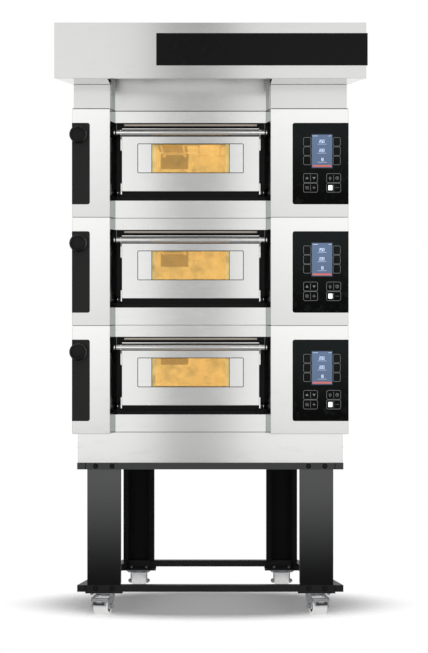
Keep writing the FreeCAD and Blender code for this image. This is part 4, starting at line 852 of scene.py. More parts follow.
class Maker:
    """Gathers shapes into one mesh and turns them into a piece."""

    def __init__(self) -> None:
        """Starts an empty mesh."""
        self.mesh = bmesh.new()

    def block(self, lo: Sequence[float], hi: Sequence[float], bevel: float = 0.0) -> "Maker":
        """A block with softened edges.

        Args:
            lo: Its lowest corner.
            hi: Its highest corner.
            bevel: Width of the softened edge.

        Returns:
            This maker.
        """
        low, high = Vector(lo), Vector(hi)
        verts = bmesh.ops.create_cube(self.mesh, size=1.0)["verts"]
        for vert in verts:
            vert.co = Vector(low[i] + (vert.co[i] + 0.5) * (high[i] - low[i]) for i in range(3))
        if bevel > 0:
            edges = list({edge for vert in verts for edge in vert.link_edges})
            bmesh.ops.bevel(self.mesh, geom=edges, offset=bevel, segments=2, profile=0.6, affect="EDGES")
        return self

    def lathe(self, profile: Sequence[tuple[float, float]], origin: Vector, axis: Vector,
              steps: int = 32, closed: bool = False) -> "Maker":
        """A turned shape.

        Args:
            profile: (radius, distance along the axis) pairs.
            origin: Where the distance is 0.
            axis: The way the axis points.
            steps: Sides.
            closed: Whether the profile's last point joins its first.

        Returns:
            This maker.
        """
        basis = axis.normalized().to_track_quat("Z", "Y").to_matrix()
        rings = []
        for radius, along in profile:
            count = 1 if radius < 1e-7 else steps
            rings.append([self.mesh.verts.new(origin + basis @ Vector((
                radius * math.cos(math.tau * i / steps), radius * math.sin(math.tau * i / steps), along)))
                for i in range(count)])
        pairs = list(zip(rings, rings[1:])) + ([(rings[-1], rings[0])] if closed else [])
        for a, b in pairs:
            for i in range(steps):
                j = (i + 1) % steps
                quad = [a[i % len(a)], a[j % len(a)], b[j % len(b)], b[i % len(b)]]
                face = list(dict.fromkeys(quad))
                if len(face) > 2:
                    self.mesh.faces.new(face)
        return self

    def tube(self, path: Sequence[Vector], radius: float, steps: int = 8, closed: bool = False) -> "Maker":
        """A round bar along a path.

        Args:
            path: The points of its centre line.
            radius: Its radius.
            steps: Sides.
            closed: Whether the path is a loop.

        Returns:
            This maker.
        """
        count = len(path)
        rings = []
        side = None
        for i, point in enumerate(path):
            before = path[i - 1] if i or closed else point
            after = path[(i + 1) % count] if i + 1 < count or closed else point
            along = (after - before).normalized()
            if side is None:
                side = along.orthogonal().normalized()
            side = (side - along * side.dot(along)).normalized()
            other = along.cross(side)
            rings.append([self.mesh.verts.new(point + (side * math.cos(a) + other * math.sin(a)) * radius)
                          for a in (math.tau * k / steps for k in range(steps))])
        pairs = list(zip(rings, rings[1:])) + ([(rings[-1], rings[0])] if closed else [])
        for a, b in pairs:
            for k in range(steps):
                m = (k + 1) % steps
                self.mesh.faces.new((a[k], a[m], b[m], b[k]))
        if not closed:
            self.mesh.faces.new(rings[0])
            self.mesh.faces.new(rings[-1])
        return self

    def slab(self, outline: Outline, y0: float, y1: float, hole: Outline | None = None) -> "Maker":
        """A flat piece that faces -Y.

        Args:
            outline: Its (x, z) outline.
            y0: Its front.
            y1: Its back.
            hole: A hole with as many points as the outline, in the same order.

        Returns:
            This maker.
        """
        rows = [[self.mesh.verts.new((x, y, z)) for x, z in loop]
                for loop in ([outline] if hole is None else [outline, hole]) for y in (y0, y1)]
        count = len(outline)
        for front, back in zip(rows[::2], rows[1::2]):
            for i in range(count):
                j = (i + 1) % count
                self.mesh.faces.new((front[i], front[j], back[j], back[i]))
        for level in (0, 1):
            if hole is None:
                self.mesh.faces.new(rows[level])
                continue
            outer, inner = rows[level], rows[level + 2]
            for i in range(count):
                j = (i + 1) % count
                self.mesh.faces.new((outer[i], outer[j], inner[j], inner[i]))
        return self

    def screw(self, centre: Vector, outward: Vector, radius: float = 0.004) -> "Maker":
        """A domed screw head with a hexagon socket, its underside at the centre point.

        Args:
            centre: A point on the surface.
            outward: The way the head faces.
            radius: The head's radius.

        Returns:
            This maker.
        """
        r = radius
        self.lathe([(0, -r * 0.1), (r * 1.25, -r * 0.1), (r * 1.25, r * 0.08), (r, r * 0.1), (r, r * 0.3),
                    (r * 0.8, r * 0.55), (r * 0.5, r * 0.64)], centre, outward, steps=18)
        return self.lathe([(r * 0.5, r * 0.64), (r * 0.48, r * 0.2), (0, r * 0.2)], centre, outward,
                          steps=HEXAGON)

    def screws(self, xs: Iterable[float], ys: Iterable[float], zs: Iterable[float], outward: Vector,
               radius: float) -> "Maker":
        """A screw at every point with one of the given values on each axis.

        Args:
            xs: Values along X.
            ys: Values along Y.
            zs: Values along Z.
            outward: The way the heads face.
            radius: The heads' radius.

        Returns:
            This maker.
        """
        for point in product(xs, ys, zs):
            self.screw(Vector(point), outward, radius)
        return self

    def nut(self, centre: Vector, outward: Vector, radius: float, height: float) -> "Maker":
        """A hexagon nut with a rounded stud end, its underside at the centre point.

        Args:
            centre: A point on the surface.
            outward: The way the nut faces.
            radius: Across its corners, halved.
            height: How tall it is.

        Returns:
            This maker.
        """
        self.lathe([(radius * 1.3, 0), (radius * 1.3, height * 0.15), (radius, height * 0.15)],
                   centre, outward, steps=24)
        self.lathe([(radius, 0), (radius, height * 0.9), (radius * 0.86, height), (0, height)],
                   centre, outward, steps=HEXAGON)
        return self.lathe([(radius * 0.5, height * 0.9), (radius * 0.5, height * 1.2),
                           (radius * 0.4, height * 1.3), (0, height * 1.3)], centre, outward, steps=16)

    def piece(self, name: str, finish: Finish, body: str = "oven") -> bpy.types.Object:
        """Finishes the mesh.

        Args:
            name: The piece's name.
            finish: What it is made of.
            body: The CAD body that it rides on.

        Returns:
            The object.
        """
        bmesh.ops.recalc_face_normals(self.mesh, faces=self.mesh.faces)
        data = bpy.data.meshes.new(name)
        self.mesh.to_mesh(data)
        self.mesh.free()
        data.shade_smooth()
        data.set_sharp_from_angle(angle=SMOOTH_ANGLE)
        made = bpy.data.objects.new(name, data)
        bpy.context.scene.collection.objects.link(made)
        data.materials.append(finish.material())
        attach(made, body)
        log.info("piece %s: %d faces, %s, on %s", name, len(data.polygons), finish.name, body)
        return made


def dress(node: str, finish: Finish) -> None:
    """Gives a CAD node its finish.

    Args:
        node: The CAD node.
        finish: What it is made of.
    """
    made = frame["nodes"][node]
    made.data.materials.clear()
    made.data.materials.append(finish.material())
    log.info("dressed %s: %s", node, finish.name)


def joint_place(name: str) -> tuple[Vector, Vector]:
    """A hinge's point and axis.

    Args:
        name: The joint.

    Returns:
        Its point and its unit axis.
    """
    joint = next(j for j in frame["joints"] if j["name"] == name)
    return Vector(joint["pos_m"]), Vector(joint["axis"]).normalized()


def deck_levels() -> tuple[float, float]:
    """The lowest deck's base and the decks' pitch."""
    first, second = Span.of("deck_1_casing"), Span.of("deck_2_casing")
    return first.lo.z, second.lo.z - first.lo.z


def recess_edges() -> tuple[float, float]:
    """Finds where the columns' faces end at the recess.

    Returns:
        The left column's edge and the right column's.
    """
    covers = Span.of("column_covers")
    points = [v.co.x for v in frame["nodes"]["column_covers"].data.vertices if v.co.y < covers.lo.y + 0.0005]
    middle = Span.of("door_1_skin").mid.x
    return max(x for x in points if x < middle), min(x for x in points if x > middle)


# ---------------------------------------------------------------- stand
@dataclass
class Stand:
    """The two rings, the legs and what fastens them."""

    bolt_radius: float = 0.0065
    bead_radius: float = 0.0012
    bead_wander: float = 0.0006
    bead_points: int = 11
    post_width: float = 1.24
    screw_radius: float = 0.005
    screw_across: tuple[float, float] = (-0.03, 0.03)
    screw_along: tuple[float, float] = (-0.012, 0.022)

    def build(self) -> None:
        """Dresses the stand and adds its bolts' sockets, washers and welds."""
        for node in ("stand_frames", "foot_plates"):
            dress(node, STAND_PAINT)
        legs = Span.of("stand_legs")
        # The legs are paler towards their top and their front: painted light, and their rear stays dark as
        # painted shade.
        dress("stand_legs", PowderCoat("top_lit_powder_coat", "stand_paint", tint=(0.007, 0.007, 0.0075),
                                       shine=0.12, lit_top_tone=(0.16, 0.165, 0.162), lit_top_span=(legs.lo.z, legs.hi.z)))
        dress("stand_bolts", SEAM_BEAD)
        self.add_sockets()
        self.add_welds()
        self.add_leg_screws()

    def bolt_places(self) -> list[tuple[Vector, Vector]]:
        """Finds the bolts in the bolt heads' meshes.

        Returns:
            The middle of each bolt's face and the way it faces.
        """
        span, places = Span.of("stand_bolts"), []
        points = [v.co for v in frame["nodes"]["stand_bolts"].data.vertices]
        for face_y, outward in ((span.lo.y, -Y_AXIS), (span.hi.y, Y_AXIS)):
            groups: list[list[Vector]] = []
            for point in (q for q in points if abs(q.y - face_y) < TOUCH):
                near = next((g for g in groups if (g[0] - point).length < 4 * self.bolt_radius), None)
                if near is None:
                    near = []
                    groups.append(near)
                near.append(point)
            places += [(sum(g, Vector()) / len(g), outward) for g in groups]
        return places

    def add_sockets(self) -> None:
        """A hexagon socket and a washer on every bolt."""
        sockets, washers, r = Maker(), Maker(), self.bolt_radius
        for face, outward in self.bolt_places():
            sockets.lathe([(r * 0.62, -0.0002), (r * 0.62, 0.0004), (r * 0.5, 0.0004), (r * 0.48, 0.0001),
                           (0, 0.0001)], face, outward, steps=HEXAGON)
            washers.lathe([(r * 1.02, -0.0034), (r * 1.45, -0.0034), (r * 1.45, -0.0024),
                           (r * 1.02, -0.0022)], face, outward, steps=28, closed=True)
        sockets.piece("stand_bolt_sockets", SEAL)
        washers.piece("stand_bolt_washers", SEAM_BEAD)

    def add_welds(self) -> None:
        """A ground weld bead up each joint between the rails."""
        frames, legs, maker = Span.of("stand_frames"), Span.of("stand_legs"), Maker()
        rail = legs.lo.z - frames.lo.z
        last = self.bead_points - 1
        for z, side in product((frames.lo.z, legs.hi.z), SIDES):
            x = side * (frames.hi.x - rail * self.post_width)
            maker.tube([Vector((x + self.bead_wander * math.sin(i * 1.9), frames.lo.y, z + rail * i / last))
                        for i in range(self.bead_points)], self.bead_radius, steps=HEXAGON)
        maker.piece("stand_weld_beads", SEAM_BEAD)

    def add_leg_screws(self) -> None:
        """Screw heads where the legs' channels meet the foot plates."""
        top, maker = Span.of("foot_plates").hi.z, Maker()
        for corner in CORNERS:
            place, _ = joint_place(f"swivel_{corner}_turn")
            maker.screws([place.x + dx for dx in self.screw_across],
                         [place.y + dy for dy in self.screw_along], [top], Z_AXIS, self.screw_radius)
        maker.piece("foot_plate_screws", ZINC)


@dataclass
class Caster:
    """One swivel caster: fork, wheel and, at the front, a brake pedal."""

    corner: str
    nut_radius: float = 0.008
    nut_height: float = 0.006
    fork_wall: float = 0.0079
    plate_nut: float = 0.0063
    plate_nut_height: float = 0.005
    plate_reach: float = 0.038
    hub_bore: float = 0.0125
    pedal_slope: float = math.radians(48)
    pedal_face: float = 0.0046
    rib_start: float = 0.0165
    rib_pitch: float = 0.0042
    rib_half_width: float = 0.022
    rib_radius: float = 0.0012

    def build(self) -> None:
        """Dresses the caster and adds its axle nuts, hub caps and pedal grip."""
        wheel = f"caster_{self.corner}_wheel"
        dress(f"caster_{self.corner}_fork", ZINC)
        dress(wheel, NYLON)
        self.centre, self.axis = joint_place(f"wheel_{self.corner}_spin")
        self.half = max(abs((v.co - self.centre).dot(self.axis)) for v in frame["nodes"][wheel].data.vertices)
        self.add_axle_nuts()
        self.add_hub_covers()
        self.add_plate_nuts()
        if self.corner.startswith("front"):
            dress(f"caster_{self.corner}_brake", ZINC)
            self.add_pedal_ribs()

    def add_axle_nuts(self) -> None:
        """A nut on each end of the axle."""
        maker = Maker()
        for way in SIDES:
            maker.nut(self.centre + self.axis * way * (self.half + self.fork_wall), self.axis * way,
                      self.nut_radius, self.nut_height)
        maker.piece(f"caster_{self.corner}_axle_nuts", ZINC, f"swivel_{self.corner}")

    def add_hub_covers(self) -> None:
        """A dished cover on each side of the wheel."""
        radius, bore, maker = self.centre.z, self.hub_bore, Maker()
        for way in SIDES:
            maker.lathe([(bore, -0.0046), (radius * 0.68, -0.0046), (radius * 0.68, -0.0032),
                         (radius * 0.5, -0.0016), (bore, -0.0016)],
                        self.centre + self.axis * way * self.half, self.axis * way, steps=40, closed=True)
        maker.piece(f"caster_{self.corner}_hub_covers", FAN_PLASTIC, f"wheel_{self.corner}")

    def add_plate_nuts(self) -> None:
        """Four nuts under the top plate."""
        place, _ = joint_place(f"swivel_{self.corner}_turn")
        across, along = self.axis * self.plate_reach, Z_AXIS.cross(self.axis) * self.plate_reach
        maker = Maker()
        for i, j in product(SIDES, SIDES):
            maker.nut(place + across * i + along * j, -Z_AXIS, self.plate_nut, self.plate_nut_height)
        maker.piece(f"caster_{self.corner}_plate_nuts", ZINC)

    def add_pedal_ribs(self) -> None:
        """Rubber ribs along the pedal's lower edge."""
        pivot, _ = joint_place(f"brake_{self.corner}_press")
        out = Vector((pivot.x - self.centre.x, pivot.y - self.centre.y, 0)).normalized()
        fall = (out * math.cos(self.pedal_slope) - Z_AXIS * math.sin(self.pedal_slope)).normalized()
        outward = fall.cross(self.axis).normalized()
        if outward.z < 0:
            outward = -outward
        maker = Maker()
        for i in range(3):
            start = pivot + outward * self.pedal_face + fall * (self.rib_start + self.rib_pitch * i)
            path = [start + self.axis * along
                    for along in steps_between(-self.rib_half_width, self.rib_half_width, 9)]
            maker.tube(path, self.rib_radius, steps=8)
        maker.piece(f"caster_{self.corner}_pedal_ribs", GRIP, f"brake_{self.corner}")


# ---------------------------------------------------------------- doors and chambers
@dataclass
class Door:
    """A drop-down door: skin, cassette, panes and full-width handle."""

    number: int
    bar_radius: float = 0.010
    seal_inset: float = 0.008
    seal_width: float = 0.010
    seal_proud: float = 0.0016
    seal_sunk: float = 0.0005
    strip_inset: float = 0.0015
    strip_below: float = 0.0130
    strip_above: float = 0.0145
    window_width: float = 0.397
    window_corner: float = 0.005
    window_line: float = 0.0026
    pane_rebate: float = 0.0057
    pane_line: tuple[float, float] = (-0.0004, 0.0016)
    side_strip: tuple[float, float] = (0.013, 0.0004)
    washer_inset: float = 0.008
    arm_thickness: float = 0.004
    arm_screws: tuple[float, float] = (0.028, 0.062)
    back_screw_inset: float = 0.024
    clip_inset: float = 0.03
    clip_half_width: float = 0.009
    clip_reach: tuple[float, float] = (-0.006, 0.010)

    def build(self) -> None:
        """Dresses the door and adds its seals, washers, screws and bushes."""
        self.name = f"door_{self.number}"
        for part, finish in (("skin", DOOR_SHEET), ("liner", CASSETTE), ("glass", GLASS),
                             ("handle", BRIGHT_BAR)):
            dress(f"{self.name}_{part}", finish)
        self.skin, self.liner = Span.of(f"{self.name}_skin"), Span.of(f"{self.name}_liner")
        self.glass, self.handle = Span.of(f"{self.name}_glass"), Span.of(f"{self.name}_handle")
        self.bar_z = self.handle.hi.z - self.bar_radius
        self.add_rear_seal()
        self.add_handle_shadow_strip()
        self.add_window_seal()
        self.add_side_strips()
        self.add_handle_washers()
        self.add_screws()
        self.add_hinge_bushes()
        self.add_pane_clips()

    def add(self, maker: Maker, part: str, finish: Finish) -> None:
        """Finishes a piece that moves with this door."""
        maker.piece(f"{self.name}_{part}", finish, self.name)

    def add_rear_seal(self) -> None:
        """A flat seal round the back of the cassette."""
        s, inset, wide = self.liner, self.seal_inset, self.seal_inset + self.seal_width
        outer = rounded(s.lo.x + inset, s.hi.x - inset, s.lo.z + inset, s.hi.z - inset, 0.012)
        inner = rounded(s.lo.x + wide, s.hi.x - wide, s.lo.z + wide, s.hi.z - wide, 0.004)
        seal = Maker().slab(outer, s.hi.y - self.seal_sunk, s.hi.y + self.seal_proud, inner)
        self.add(seal, "rear_seal", ROPE)

    def add_handle_shadow_strip(self) -> None:
        """A black strip on the door's face behind the handle, under a bright top edge: a painted shadow of
        the bar, put where there is only shade.
        """
        s, inset = self.skin, self.strip_inset
        strip = Maker().block((s.lo.x + inset, s.lo.y - 0.0015, self.bar_z - self.strip_below),
                              (s.hi.x - inset, s.lo.y + 0.0003, self.bar_z + self.strip_above), bevel=0.0004)
        self.add(strip, "handle_shadow_strip", BAND)

    def window(self) -> tuple[float, float]:
        """The window's lower and upper edge, from the panes' box."""
        return self.glass.lo.z + self.pane_rebate, self.glass.hi.z - self.pane_rebate

    def add_window_seal(self) -> None:
        """The dark line round the window and beside the pane."""
        g, y, line, corner = self.glass, self.skin.lo.y, self.window_line, self.window_corner
        x0, x1 = g.mid.x - self.window_width / 2, g.mid.x + self.window_width / 2
        z0, z1 = self.window()
        maker = Maker().slab(rounded(x0, x1, z0, z1, corner), y + 0.0006, y + 0.0016,
                             rounded(x0 + line, x1 - line, z0 + line, z1 - line, corner - line))
        for side in SIDES:
            left, right = sorted(g.mid.x + side * (g.size.x / 2 + out) for out in self.pane_line)
            maker.block((left, y + 0.0004, z0 + line), (right, y + 0.003, z1 - line))
        self.add(maker, "window_seal", SEAL)

    def add_side_strips(self) -> None:
        """Warm strips at the pane's sides, on the cassette's front; their glow is painted light."""
        g, y, maker = self.glass, self.skin.hi.y, Maker()
        z0, z1 = self.window()
        for side in SIDES:
            x0, x1 = sorted(g.mid.x + side * (g.size.x / 2 - inset) for inset in self.side_strip)
            maker.block((x0, y - 0.0012, z0 + 0.001), (x1, y, z1 - 0.001))
        self.add(maker, "window_side_strips", CHAMBER)

    def add_handle_washers(self) -> None:
        """A dark washer between the bar and each end cap."""
        h, maker = self.handle, Maker()
        for side in SIDES:
            x = h.mid.x + side * (h.size.x / 2 - self.washer_inset)
            centre = Vector((x, h.lo.y + self.bar_radius, self.bar_z))
            maker.lathe([(0.0058, -0.0024), (0.0098, -0.0024), (0.0103, -0.0014), (0.0103, 0.0014),
                         (0.0098, 0.0024), (0.0058, 0.0024)], centre, X_AXIS, steps=28, closed=True)
        self.add(maker, "handle_washers", SEAL)

    def add_screws(self) -> None:
        """Screws through the arms into the door's sides, and round the cassette's back."""
        maker, s, h, back, inset = Maker(), self.skin, self.handle, self.liner, self.back_screw_inset
        for side in SIDES:
            maker.screws([s.mid.x + side * (s.size.x / 2 + self.arm_thickness)], [s.lo.y + 0.018],
                         [h.hi.z - fall for fall in self.arm_screws], X_AXIS * side, 0.0042)
        maker.screws(steps_between(back.lo.x + inset, back.hi.x - inset, 5), [back.hi.y - 0.0014],
                     (back.lo.z + inset, back.hi.z - inset), Y_AXIS, 0.0034)
        self.add(maker, "screws", SCREW_STEEL)

    def add_hinge_bushes(self) -> None:
        """A bright bush on each hinge pin."""
        place, axis = joint_place(f"{self.name}_hinge")
        maker = Maker()
        for side in SIDES:
            maker.lathe([(0.0051, 0), (0.0075, 0), (0.0082, 0.0008), (0.0075, 0.0022), (0.0051, 0.0022)],
                        place + axis * side * (self.skin.size.x / 2 + 0.0042), axis * side, steps=28,
                        closed=True)
        self.add(maker, "hinge_bushes", SCREW_STEEL)

    def add_pane_clips(self) -> None:
        """Folded clips that hold the inner pane."""
        g, back, half, maker = self.glass, self.liner.hi.y, self.clip_half_width, Maker()
        for x in steps_between(g.lo.x + self.clip_inset, g.hi.x - self.clip_inset, 3):
            for z, way in ((g.lo.z, -1), (g.hi.z, 1)):
                z0, z1 = sorted(z + way * reach for reach in self.clip_reach)
                maker.block((x - half, back - 0.0012, z0), (x + half, back + 0.0003, z1), bevel=0.0004)
        self.add(maker, "pane_clips", SCREW_STEEL)


@dataclass
class Chamber:
    """One deck's baking chamber and what is seen inside it."""

    number: int
    lamp_watts: float = 0.5
    lamp_colour: Colour = (1.0, 0.80, 0.40)
    lamp_size: tuple[float, float] = (0.30, 0.40)
    lamp_drop: float = 0.016
    roof_gap: float = 0.0015
    frame_width: float = 0.008
    frame_depth: float = 0.004
    channel_half_width: float = 0.056
    channel_depth: float = 0.0035
    channel_drop: float = 0.060
    element_pitch: float = 0.144
    element_half_gap: float = 0.030
    element_drop: float = 0.0075

    def build(self) -> None:
        """Adds the lamp's frame and light, its channel and the elements' collars."""
        walls, self.lamp = Span.of("chambers"), Span.of("oven_lamps")
        door, stones = Span.of(f"door_{self.number}_skin"), Span.of("baking_stones")
        shift = Span.of("deck_3_casing").lo.z - Span.of(f"deck_{self.number}_casing").lo.z
        self.lo = Vector((walls.lo.x, door.hi.y, stones.hi.z - shift))
        self.hi = Vector((walls.hi.x, walls.hi.y, walls.hi.z - shift))
        self.mid = (self.lo + self.hi) / 2
        self.roof = self.hi.z - self.roof_gap
        self.add_lamp_frame()
        self.add_channel()
        self.add_collars()
        self.add_glow()

    def add_lamp_frame(self) -> None:
        """A steel frame round the lamp cover, with its screws."""
        maker, wide, foot = Maker(), self.frame_width, self.roof - self.frame_depth
        x0, x1, y0, y1 = self.lamp.lo.x, self.lamp.hi.x, self.lamp.lo.y, self.lamp.hi.y
        bars = ((x0 - wide, x1 + wide, y0 - wide, y0), (x0 - wide, x1 + wide, y1, y1 + wide),
                (x0 - wide, x0, y0, y1), (x1, x1 + wide, y0, y1))
        for left, right, front, back in bars:
            maker.block((left, front, foot), (right, back, self.roof), bevel=0.0008)
        maker.screws((x0 - wide / 2, x1 + wide / 2), (y0 + 0.015, y1 - 0.015), [foot], -Z_AXIS, 0.003)
        maker.piece(f"chamber_{self.number}_lamp_frame", DUCT_STEEL)

    def add_channel(self) -> None:
        """The folded channel along the roof and down the back wall that carries the lamp's wires."""
        x0, x1 = self.lamp.mid.x - self.channel_half_width, self.lamp.mid.x + self.channel_half_width
        maker = Maker().block((x0, self.lo.y + 0.03, self.roof - self.channel_depth),
                              (x1, self.lamp.lo.y - 0.010, self.roof), bevel=0.0006)
        maker.block((x0, self.hi.y - 0.008, self.roof - self.channel_drop),
                    (x1, self.hi.y - self.roof_gap, self.roof), bevel=0.0006)
        maker.piece(f"chamber_{self.number}_lamp_channel", LAMP_SHEET)

    def add_collars(self) -> None:
        """Ceramic collars where the upper elements go through the back wall."""
        maker, y = Maker(), Span.of("heating_elements").hi.y - 0.004
        for i, side in product((-1, 0, 1), SIDES):
            centre = Vector((self.mid.x + i * self.element_pitch + side * self.element_half_gap, y,
                             self.hi.z - self.element_drop))
            maker.lathe([(0.0042, 0.004), (0.0066, 0.004), (0.0072, 0), (0.0066, -0.005), (0.0042, -0.006)],
                        centre, Y_AXIS, steps=20, closed=True)
        maker.piece(f"chamber_{self.number}_element_collars", STONE)

    def add_glow(self) -> None:
        """The lamp's warm light inside the chamber."""
        data = bpy.data.lights.new(f"chamber_glow_{self.number}", "AREA")
        data.shape, data.size, data.size_y = "RECTANGLE", *self.lamp_size
        data.energy, data.color = self.lamp_watts, self.lamp_colour
        light = bpy.data.objects.new(data.name, data)
        light.location = (self.mid.x, self.mid.y, self.hi.z - self.lamp_drop)
        bpy.context.scene.collection.objects.link(light)


# ---------------------------------------------------------------- control side
class Segment(Enum):
    """The seven bars of a figure: from (x, z) to (x, z) in a box one wide and two tall."""

    TOP = ((0, 2), (1, 2))
    MIDDLE = ((0, 1), (1, 1))
    BOTTOM = ((0, 0), (1, 0))
    UPPER_LEFT = ((0, 1), (0, 2))
    UPPER_RIGHT = ((1, 1), (1, 2))
    LOWER_LEFT = ((0, 0), (0, 1))
    LOWER_RIGHT = ((1, 0), (1, 1))


FIGURES: dict[str, str] = {
    "0": "TOP BOTTOM UPPER_LEFT UPPER_RIGHT LOWER_LEFT LOWER_RIGHT",
    "1": "UPPER_RIGHT LOWER_RIGHT",
    "2": "TOP MIDDLE BOTTOM UPPER_RIGHT LOWER_LEFT",
    "5": "TOP MIDDLE BOTTOM UPPER_LEFT LOWER_RIGHT",
    "8": "TOP MIDDLE BOTTOM UPPER_LEFT UPPER_RIGHT LOWER_LEFT LOWER_RIGHT",
}


class Icon(Enum):
    """What a printed key shows."""

    UP = "up"
    DOWN = "down"
    LAMP = "lamp"
    CLOCK = "clock"
    STEAM = "steam"
    PLUS = "plus"
    DOTS = "dots"
    BLANK = "blank"


@dataclass
class ControlPanel:
    """The black panel with the display and printed keys of one deck."""

    number: int
    edge: float = 0.0006
    screen_width: float = 0.075
    screen_height: float = 0.122
    screen_right: float = 0.060
    screen_bottom: float = 0.135
    print_depth: float = 0.00025
    line_width: float = 0.0011
    rows: tuple[str, ...] = ("250", "220", "18")
    row_pitch: float = 0.0335
    first_row: float = 0.030
    figure_height: float = 0.010
    figure_gap: float = 0.0015
    margin: float = 0.003
    key_corner: float = 0.006
    key_left: float = 0.0315
    soft_key_right: float = 0.0305
    soft_key_top: float = 0.010
    soft_key_pitch: float = 0.0345
    soft_key_height: float = 0.0330
    group_left: float = 0.0211
    group_width: float = 0.0530
    group_height: float = 0.0342
    group_pitch: float = 0.0355
    group_top: float = 0.0215
    icon_pitch: float = 0.026
    icon_radius: float = 0.0058
    lit_left: float = 0.0145
    lit_right: float = 0.0010
    lit_half_height: float = 0.00925

    def build(self) -> None:
        """Adds the bezel, picture, keys and icons."""
        panels = Span.of("control_panels")
        _, pitch = deck_levels()
        self.face = panels.lo.y
        right = panels.hi.x - self.edge - self.screen_right
        bottom = panels.lo.z + pitch * (self.number - 1) + self.screen_bottom
        self.screen = (right - self.screen_width, right, bottom, bottom + self.screen_height)
        self.add_screen()
        self.add_readings()
        self.add_soft_keys()
        self.add_key_groups()

    def front(self, layer: int) -> float:
        """The front of a printed layer."""
        return self.face - self.print_depth * layer

    def grown(self, reach: float, radius: float) -> Outline:
        """The screen's outline, grown all round."""
        x0, x1, z0, z1 = self.screen
        return rounded(x0 - reach, x1 + reach, z0 - reach, z1 + reach, radius)

    def add_screen(self) -> None:
        """The lit picture and the thin frame round it."""
        name, front = f"display_{self.number}", self.front(1)
        _, _, bottom, top = self.screen
        picture = LitScreen(f"display_picture_{self.number}", "black_panel", top=top, bottom=bottom)
        Maker().slab(self.grown(0.0, 0.0015), front, self.face + 0.001).piece(f"{name}_picture", picture)
        outer, inner = self.grown(0.003, 0.003), self.grown(0.0016, 0.0022)
        Maker().slab(outer, front, self.face + 0.0005, inner).piece(f"{name}_bezel", BEZEL)

    def bar(self, maker: Maker, x0: float, x1: float, z0: float, z1: float, layer: int = 2) -> None:
        """A flat printed bar."""
        y = self.front(layer)
        maker.slab([(x0, z0), (x1, z0), (x1, z1), (x0, z1)], y, y + self.print_depth)

    def figure(self, maker: Maker, name: str, x: float, z: float, height: float) -> None:
        """Draws one seven-bar figure.

        Args:
            maker: Where its bars go.
            name: The figure.
            x: Its left edge.
            z: Its lower edge.
            height: How tall it is.
        """
        unit, wide, thick = height / 2, height * 0.475, height * 0.075
        for word in FIGURES[name].split():
            (ax, az), (bx, bz) = Segment[word].value
            self.bar(maker, x + ax * wide - thick, x + bx * wide + thick,
                     z + az * unit - thick, z + bz * unit + thick, 3)

    def add_readings(self) -> None:
        """A status line, three rows of figures with their underlines, and the red bar."""
        x0, x1, z0, z1 = self.screen
        width, advance, figures = x1 - x0, self.figure_height / 2 + self.figure_gap, Maker()
        for left, right in ((x0 + self.margin, x0 + 0.022), (x1 - 0.014, x1 - self.margin)):
            self.bar(figures, left, right, z1 - 0.0058, z1 - 0.0042)
        for i, text in enumerate(self.rows):
            base = z1 - self.first_row - self.row_pitch * i
            start = (x0 + x1) / 2 - len(text) * advance / 2
            for k, name in enumerate(text):
                self.figure(figures, name, start + k * advance, base, self.figure_height)
            self.bar(figures, x0 + width * 0.28, x1 - width * 0.28, base - 0.0058, base - 0.0048)
        figures.piece(f"display_{self.number}_figures", LIT_FIGURES)
        red = Maker()
        self.bar(red, x0 + self.margin, x1 - self.margin, z0 + self.margin, z0 + 0.0095)
        red.piece(f"display_{self.number}_red_bar", LIT_RED)

    def outline(self, lines: Maker, x0: float, x1: float, z0: float, z1: float) -> None:
        """A printed key: a pale rounded line.

        Args:
            lines: Where the line goes.
            x0: Left.
            x1: Right.
            z0: Bottom.
            z1: Top.
        """
        radius, w = self.key_corner, self.line_width
        lines.slab(rounded(x0, x1, z0, z1, radius), self.front(1), self.face + 0.0003,
                   rounded(x0 + w, x1 - w, z0 + w, z1 - w, radius - w))

    def add_soft_keys(self) -> None:
        """Three keys on each side of the display."""
        lines, (x0, x1, _, z1) = Maker(), self.screen
        for i in range(3):
            top = z1 - self.soft_key_top - self.soft_key_pitch * i
            for left, right in ((x0 - self.key_left, x0 - self.margin),
                                (x1 + self.margin, x1 + self.soft_key_right)):
                self.outline(lines, left, right, top - self.soft_key_height, top)
        lines.piece(f"display_{self.number}_soft_keys", PRINT)

    def add_key_groups(self) -> None:
        """Four wide keys below the display, each with two icons and a divider, and the lit square."""
        lines, marks, (x0, x1, z0, _) = Maker(), Maker(), self.screen
        pairs = ((Icon.UP, Icon.DOWN), (Icon.LAMP, Icon.CLOCK), (Icon.STEAM, Icon.PLUS),
                 (Icon.BLANK, Icon.DOTS))
        high, first = self.group_height, z0 - self.group_top
        for k, pair in enumerate(pairs):
            left = x1 - self.group_left if k % 2 else x0 - self.key_left
            top = first - self.group_pitch * (k // 2)
            self.outline(lines, left, left + self.group_width, top - high, top)
            mid = left + self.group_width / 2
            self.bar(marks, mid - 0.0005, mid + 0.0005, top - high + 0.0055, top - 0.0055)
            for i, icon in enumerate(pair):
                self.icon(marks, icon, mid + (i - 0.5) * self.icon_pitch, top - high / 2)
        lines.piece(f"keys_{self.number}_lines", PRINT)
        marks.piece(f"keys_{self.number}_icons", PRINT)
        y, mid, half = self.front(2), first - self.group_pitch - high / 2, self.lit_half_height
        Maker().slab(rounded(x1 - self.lit_left, x1 + self.lit_right, mid - half, mid + half, 0.002), y,
                     y + self.print_depth).piece(f"keys_{self.number}_lit_square", LIT_WHITE)

    def ring(self, maker: Maker, x: float, z: float, radius: float, width: float) -> None:
        """A round printed line.

        Args:
            maker: Where it goes.
            x: Its middle, across.
            z: Its middle, up.
            radius: Its outer radius.
            width: How wide the line is.
        """
        y = self.front(2)
        outer, inner = ([(point.x, point.z) for point in circle(Vector((x, y, z)), size, 20)]
                        for size in (radius, radius - width))
        maker.slab(outer, y, y + self.print_depth, inner)

